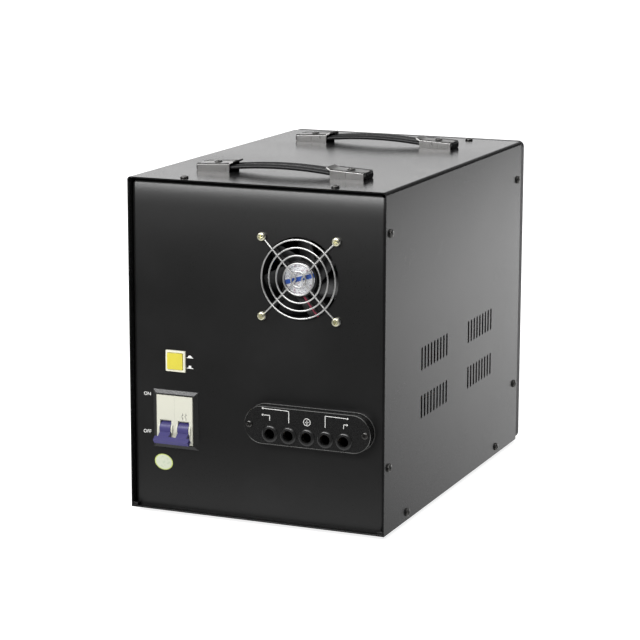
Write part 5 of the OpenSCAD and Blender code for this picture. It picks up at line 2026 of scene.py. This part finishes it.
class Controls:
    """Transformer, relay, control board, fascia and lamps, which only need their finishes."""

    def build(self, shop: Workshop) -> None:
        """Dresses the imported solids.

        Args:
            shop: Where they are dressed.
        """
        shop.dress(Finishes.core, "transformer_core")
        shop.dress(Finishes.coil, "transformer_coil")
        shop.dress(Finishes.zinc, "transformer_angles", "board_spacers")
        shop.dress(Finishes.board, "control_board")
        shop.dress(Finishes.component, "board_parts")
        shop.dress(Finishes.relay, "output_relay")
        shop.dress(Finishes.fascia, "display_fascia")
        shop.dress(Finishes.lamp, "indicator_lamps")


# Studio


@dataclass(frozen=True)
class Softbox:
    """A rectangular light that looks at the object's middle.

    It stands in the direction way, reach metres off, and size is its width and height in metres.
    Where radiance is 1, it is about as bright as white paper in the studio: the power is the
    radiance times pi times the area.
    """

    name: str
    way: tuple[float, float, float]
    reach: float
    size: tuple[float, float]
    radiance: float

    def hang(self, middle: Vector) -> None:
        """Adds the light to the scene.

        Args:
            middle: The point that it looks at.
        """
        data = bpy.data.lights.new(self.name, "AREA")
        data.shape, data.size, data.size_y = "RECTANGLE", *self.size
        data.energy = self.radiance * math.pi * self.size[0] * self.size[1]
        light = bpy.data.objects.new(self.name, data)
        bpy.context.scene.collection.objects.link(light)
        light.location = middle + Vector(self.way).normalized() * self.reach
        light.rotation_mode = "QUATERNION"
        light.rotation_quaternion = (middle - light.location).to_track_quat("-Z", "Y")


@dataclass
class Studio:
    """Camera, floor, backdrop light and softboxes."""

    lens: float = 131.2
    sensor: float = 36.0
    azimuth: float = 22.67
    elevation: float = 11.67
    roll: float = 0.15
    eye: tuple[float, float, float] = (836.9, -1852.0, 606.0)
    floor_size: float = 60.0
    floor_tones: tuple[Colour, Colour] = ((0.45, 0.45, 0.45), (0.43, 0.43, 0.43))
    floor_glow: float = 0.85
    dim: float = 0.09
    horizon: float = 1.36
    ground: float = 2.75
    near_ground: float = 1.1
    side_ground: float = 2.2
    overhead: float = 1.6
    middle: float = 0.2
    softboxes: tuple[Softbox, ...] = (
        Softbox("softbox_overhead", (0.1, 0.1, 1.0), 2.4, (2.2, 1.6), 1.2),
        Softbox("softbox_front_high", (-0.25, -0.82, 0.5), 3.0, (2.4, 0.8), 13.0),
        Softbox("softbox_front_low", (-0.4, -0.9, 0.16), 3.0, (1.6, 0.3), 1.6),
        Softbox("softbox_display", (-0.72, 0.62, 0.42), 3.2, (1.8, 0.9), 5.0),
    )

    def camera(self) -> None:
        """Stands the camera where the picture was taken."""
        data = bpy.data.cameras.new("picture_camera")
        data.lens, data.sensor_width = self.lens, self.sensor
        data.clip_start, data.clip_end = 0.05, 100.0
        camera = bpy.data.objects.new("picture_camera", data)
        bpy.context.scene.collection.objects.link(camera)
        camera.location = FRAME.metres(np.array(self.eye))
        a, e = math.radians(self.azimuth), math.radians(self.elevation)
        back = Vector((math.sin(a) * math.cos(e), -math.cos(a) * math.cos(e), math.sin(e)))
        camera.rotation_mode = "QUATERNION"
        aim = (-back).to_track_quat("-Z", "Y")
        camera.rotation_quaternion = aim @ Quaternion((0.0, 0.0, 1.0), math.radians(self.roll))
        bpy.context.scene.camera = camera

    def backdrop(self) -> None:
        """World light, in five parts over a dim rest; plain white to the camera.

        A bright strip over the horizon behind on the left, pale ground behind that darkens
        towards the object, pale ground close by and on both sides, and a bright overhead.
        """
        world = bpy.data.worlds.new("studio")
        bpy.context.scene.world = world
        graph = Graph(world, "ShaderNodeBackground", "ShaderNodeOutputWorld")
        side, back, up = graph.axes(graph.add("ShaderNodeTexCoord", output="Generated"))
        behind = back.between(0.0, 0.75)
        strip = up.between(-0.06, 0.06) * (1 - up.between(0.2, 0.36))
        strip = strip * (1 - side.between(-0.1, 0.2))
        ground = (1 - up.between(-0.14, 0.0)) * up.between(-0.36, -0.16, 0.1, 1.0)
        ground = ground * (1 - side.between(0.22, 0.46))
        near = 1 - up.between(-0.62, -0.28)
        flank = side.absolute().between(0.82, 0.97) * (1 - up.between(-0.3, 0.1))
        light = (
            behind * (strip * self.horizon + ground * self.ground)
            + near * self.near_ground
            + flank * self.side_ground
            + up.between(0.5, 0.95, 0.0, self.overhead)
            + self.dim
        )
        seen = graph.add("ShaderNodeLightPath", output="Is Camera Ray")
        graph.surface(Strength=seen + (1 - seen) * light)

    def floor(self) -> None:
        """A pale floor, which gloss doesn't mirror."""
        graph = Graph.of_material("pale_floor")
        paper = graph.noise(graph.place(), 3.0, 3.0)
        finish = graph.surface(
            Base_Color=graph.blend(paper * 0.1, *self.floor_tones), Roughness=0.9,
            Emission_Color=(1.0, 1.0, 1.0), Emission_Strength=self.floor_glow,
        )
        half = self.floor_size / 2
        mesh = bpy.data.meshes.new("floor")
        ends = [(-half, -half, 0), (half, -half, 0), (half, half, 0), (-half, half, 0)]
        mesh.from_pydata(ends, [], [(0, 1, 2, 3)])
        mesh.materials.append(finish)
        floor = bpy.data.objects.new("floor", mesh)
        bpy.context.scene.collection.objects.link(floor)
        floor.visible_glossy = False

    def build(self) -> None:
        """Sets the whole studio."""
        self.camera()
        self.floor()
        self.backdrop()
        for softbox in self.softboxes:
            softbox.hang(Vector((0.0, 0.0, self.middle)))
        bpy.context.scene.view_settings.view_transform = "Standard"


def main() -> None:
    logging.basicConfig(level=logging.INFO, format="%(message)s")
    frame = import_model()
    shop = Workshop(frame)
    Case().build(shop)
    handles = [StrapHandle("near", 71.0), StrapHandle("far", 301.0)]
    for handle in handles:
        handle.build(shop)
    screw = PanScrews(rise=1.3, sink=0.9, length=11.0)
    places = [place for handle in handles for place in handle.screw_places()]
    shop.make("cap_pan_screws", screw.at(Facing.TOP, places, 7), Finishes.black_screw,
              stands_for=["handle_screws"])
    AxialFan().build(shop)
    Breaker().build(shop)
    DelayButton().build(shop)
    CableEntries().build(shop)
    PanelMeter("voltmeter", 48.0, ("0", "50", "100", "150", "200", "250", "300"), "V").build(shop)
    PanelMeter("ammeter", -48.0, ("0", "10", "20", "30", "40", "50"), "A").build(shop)
    Regulator().build(shop)
    Controls().build(shop)
    Studio().build()
    for name in shop.undressed():
        log.warning("no finish on %s", name)
    bpy.context.view_layer.update()


if __name__ == "__main__":
    main()
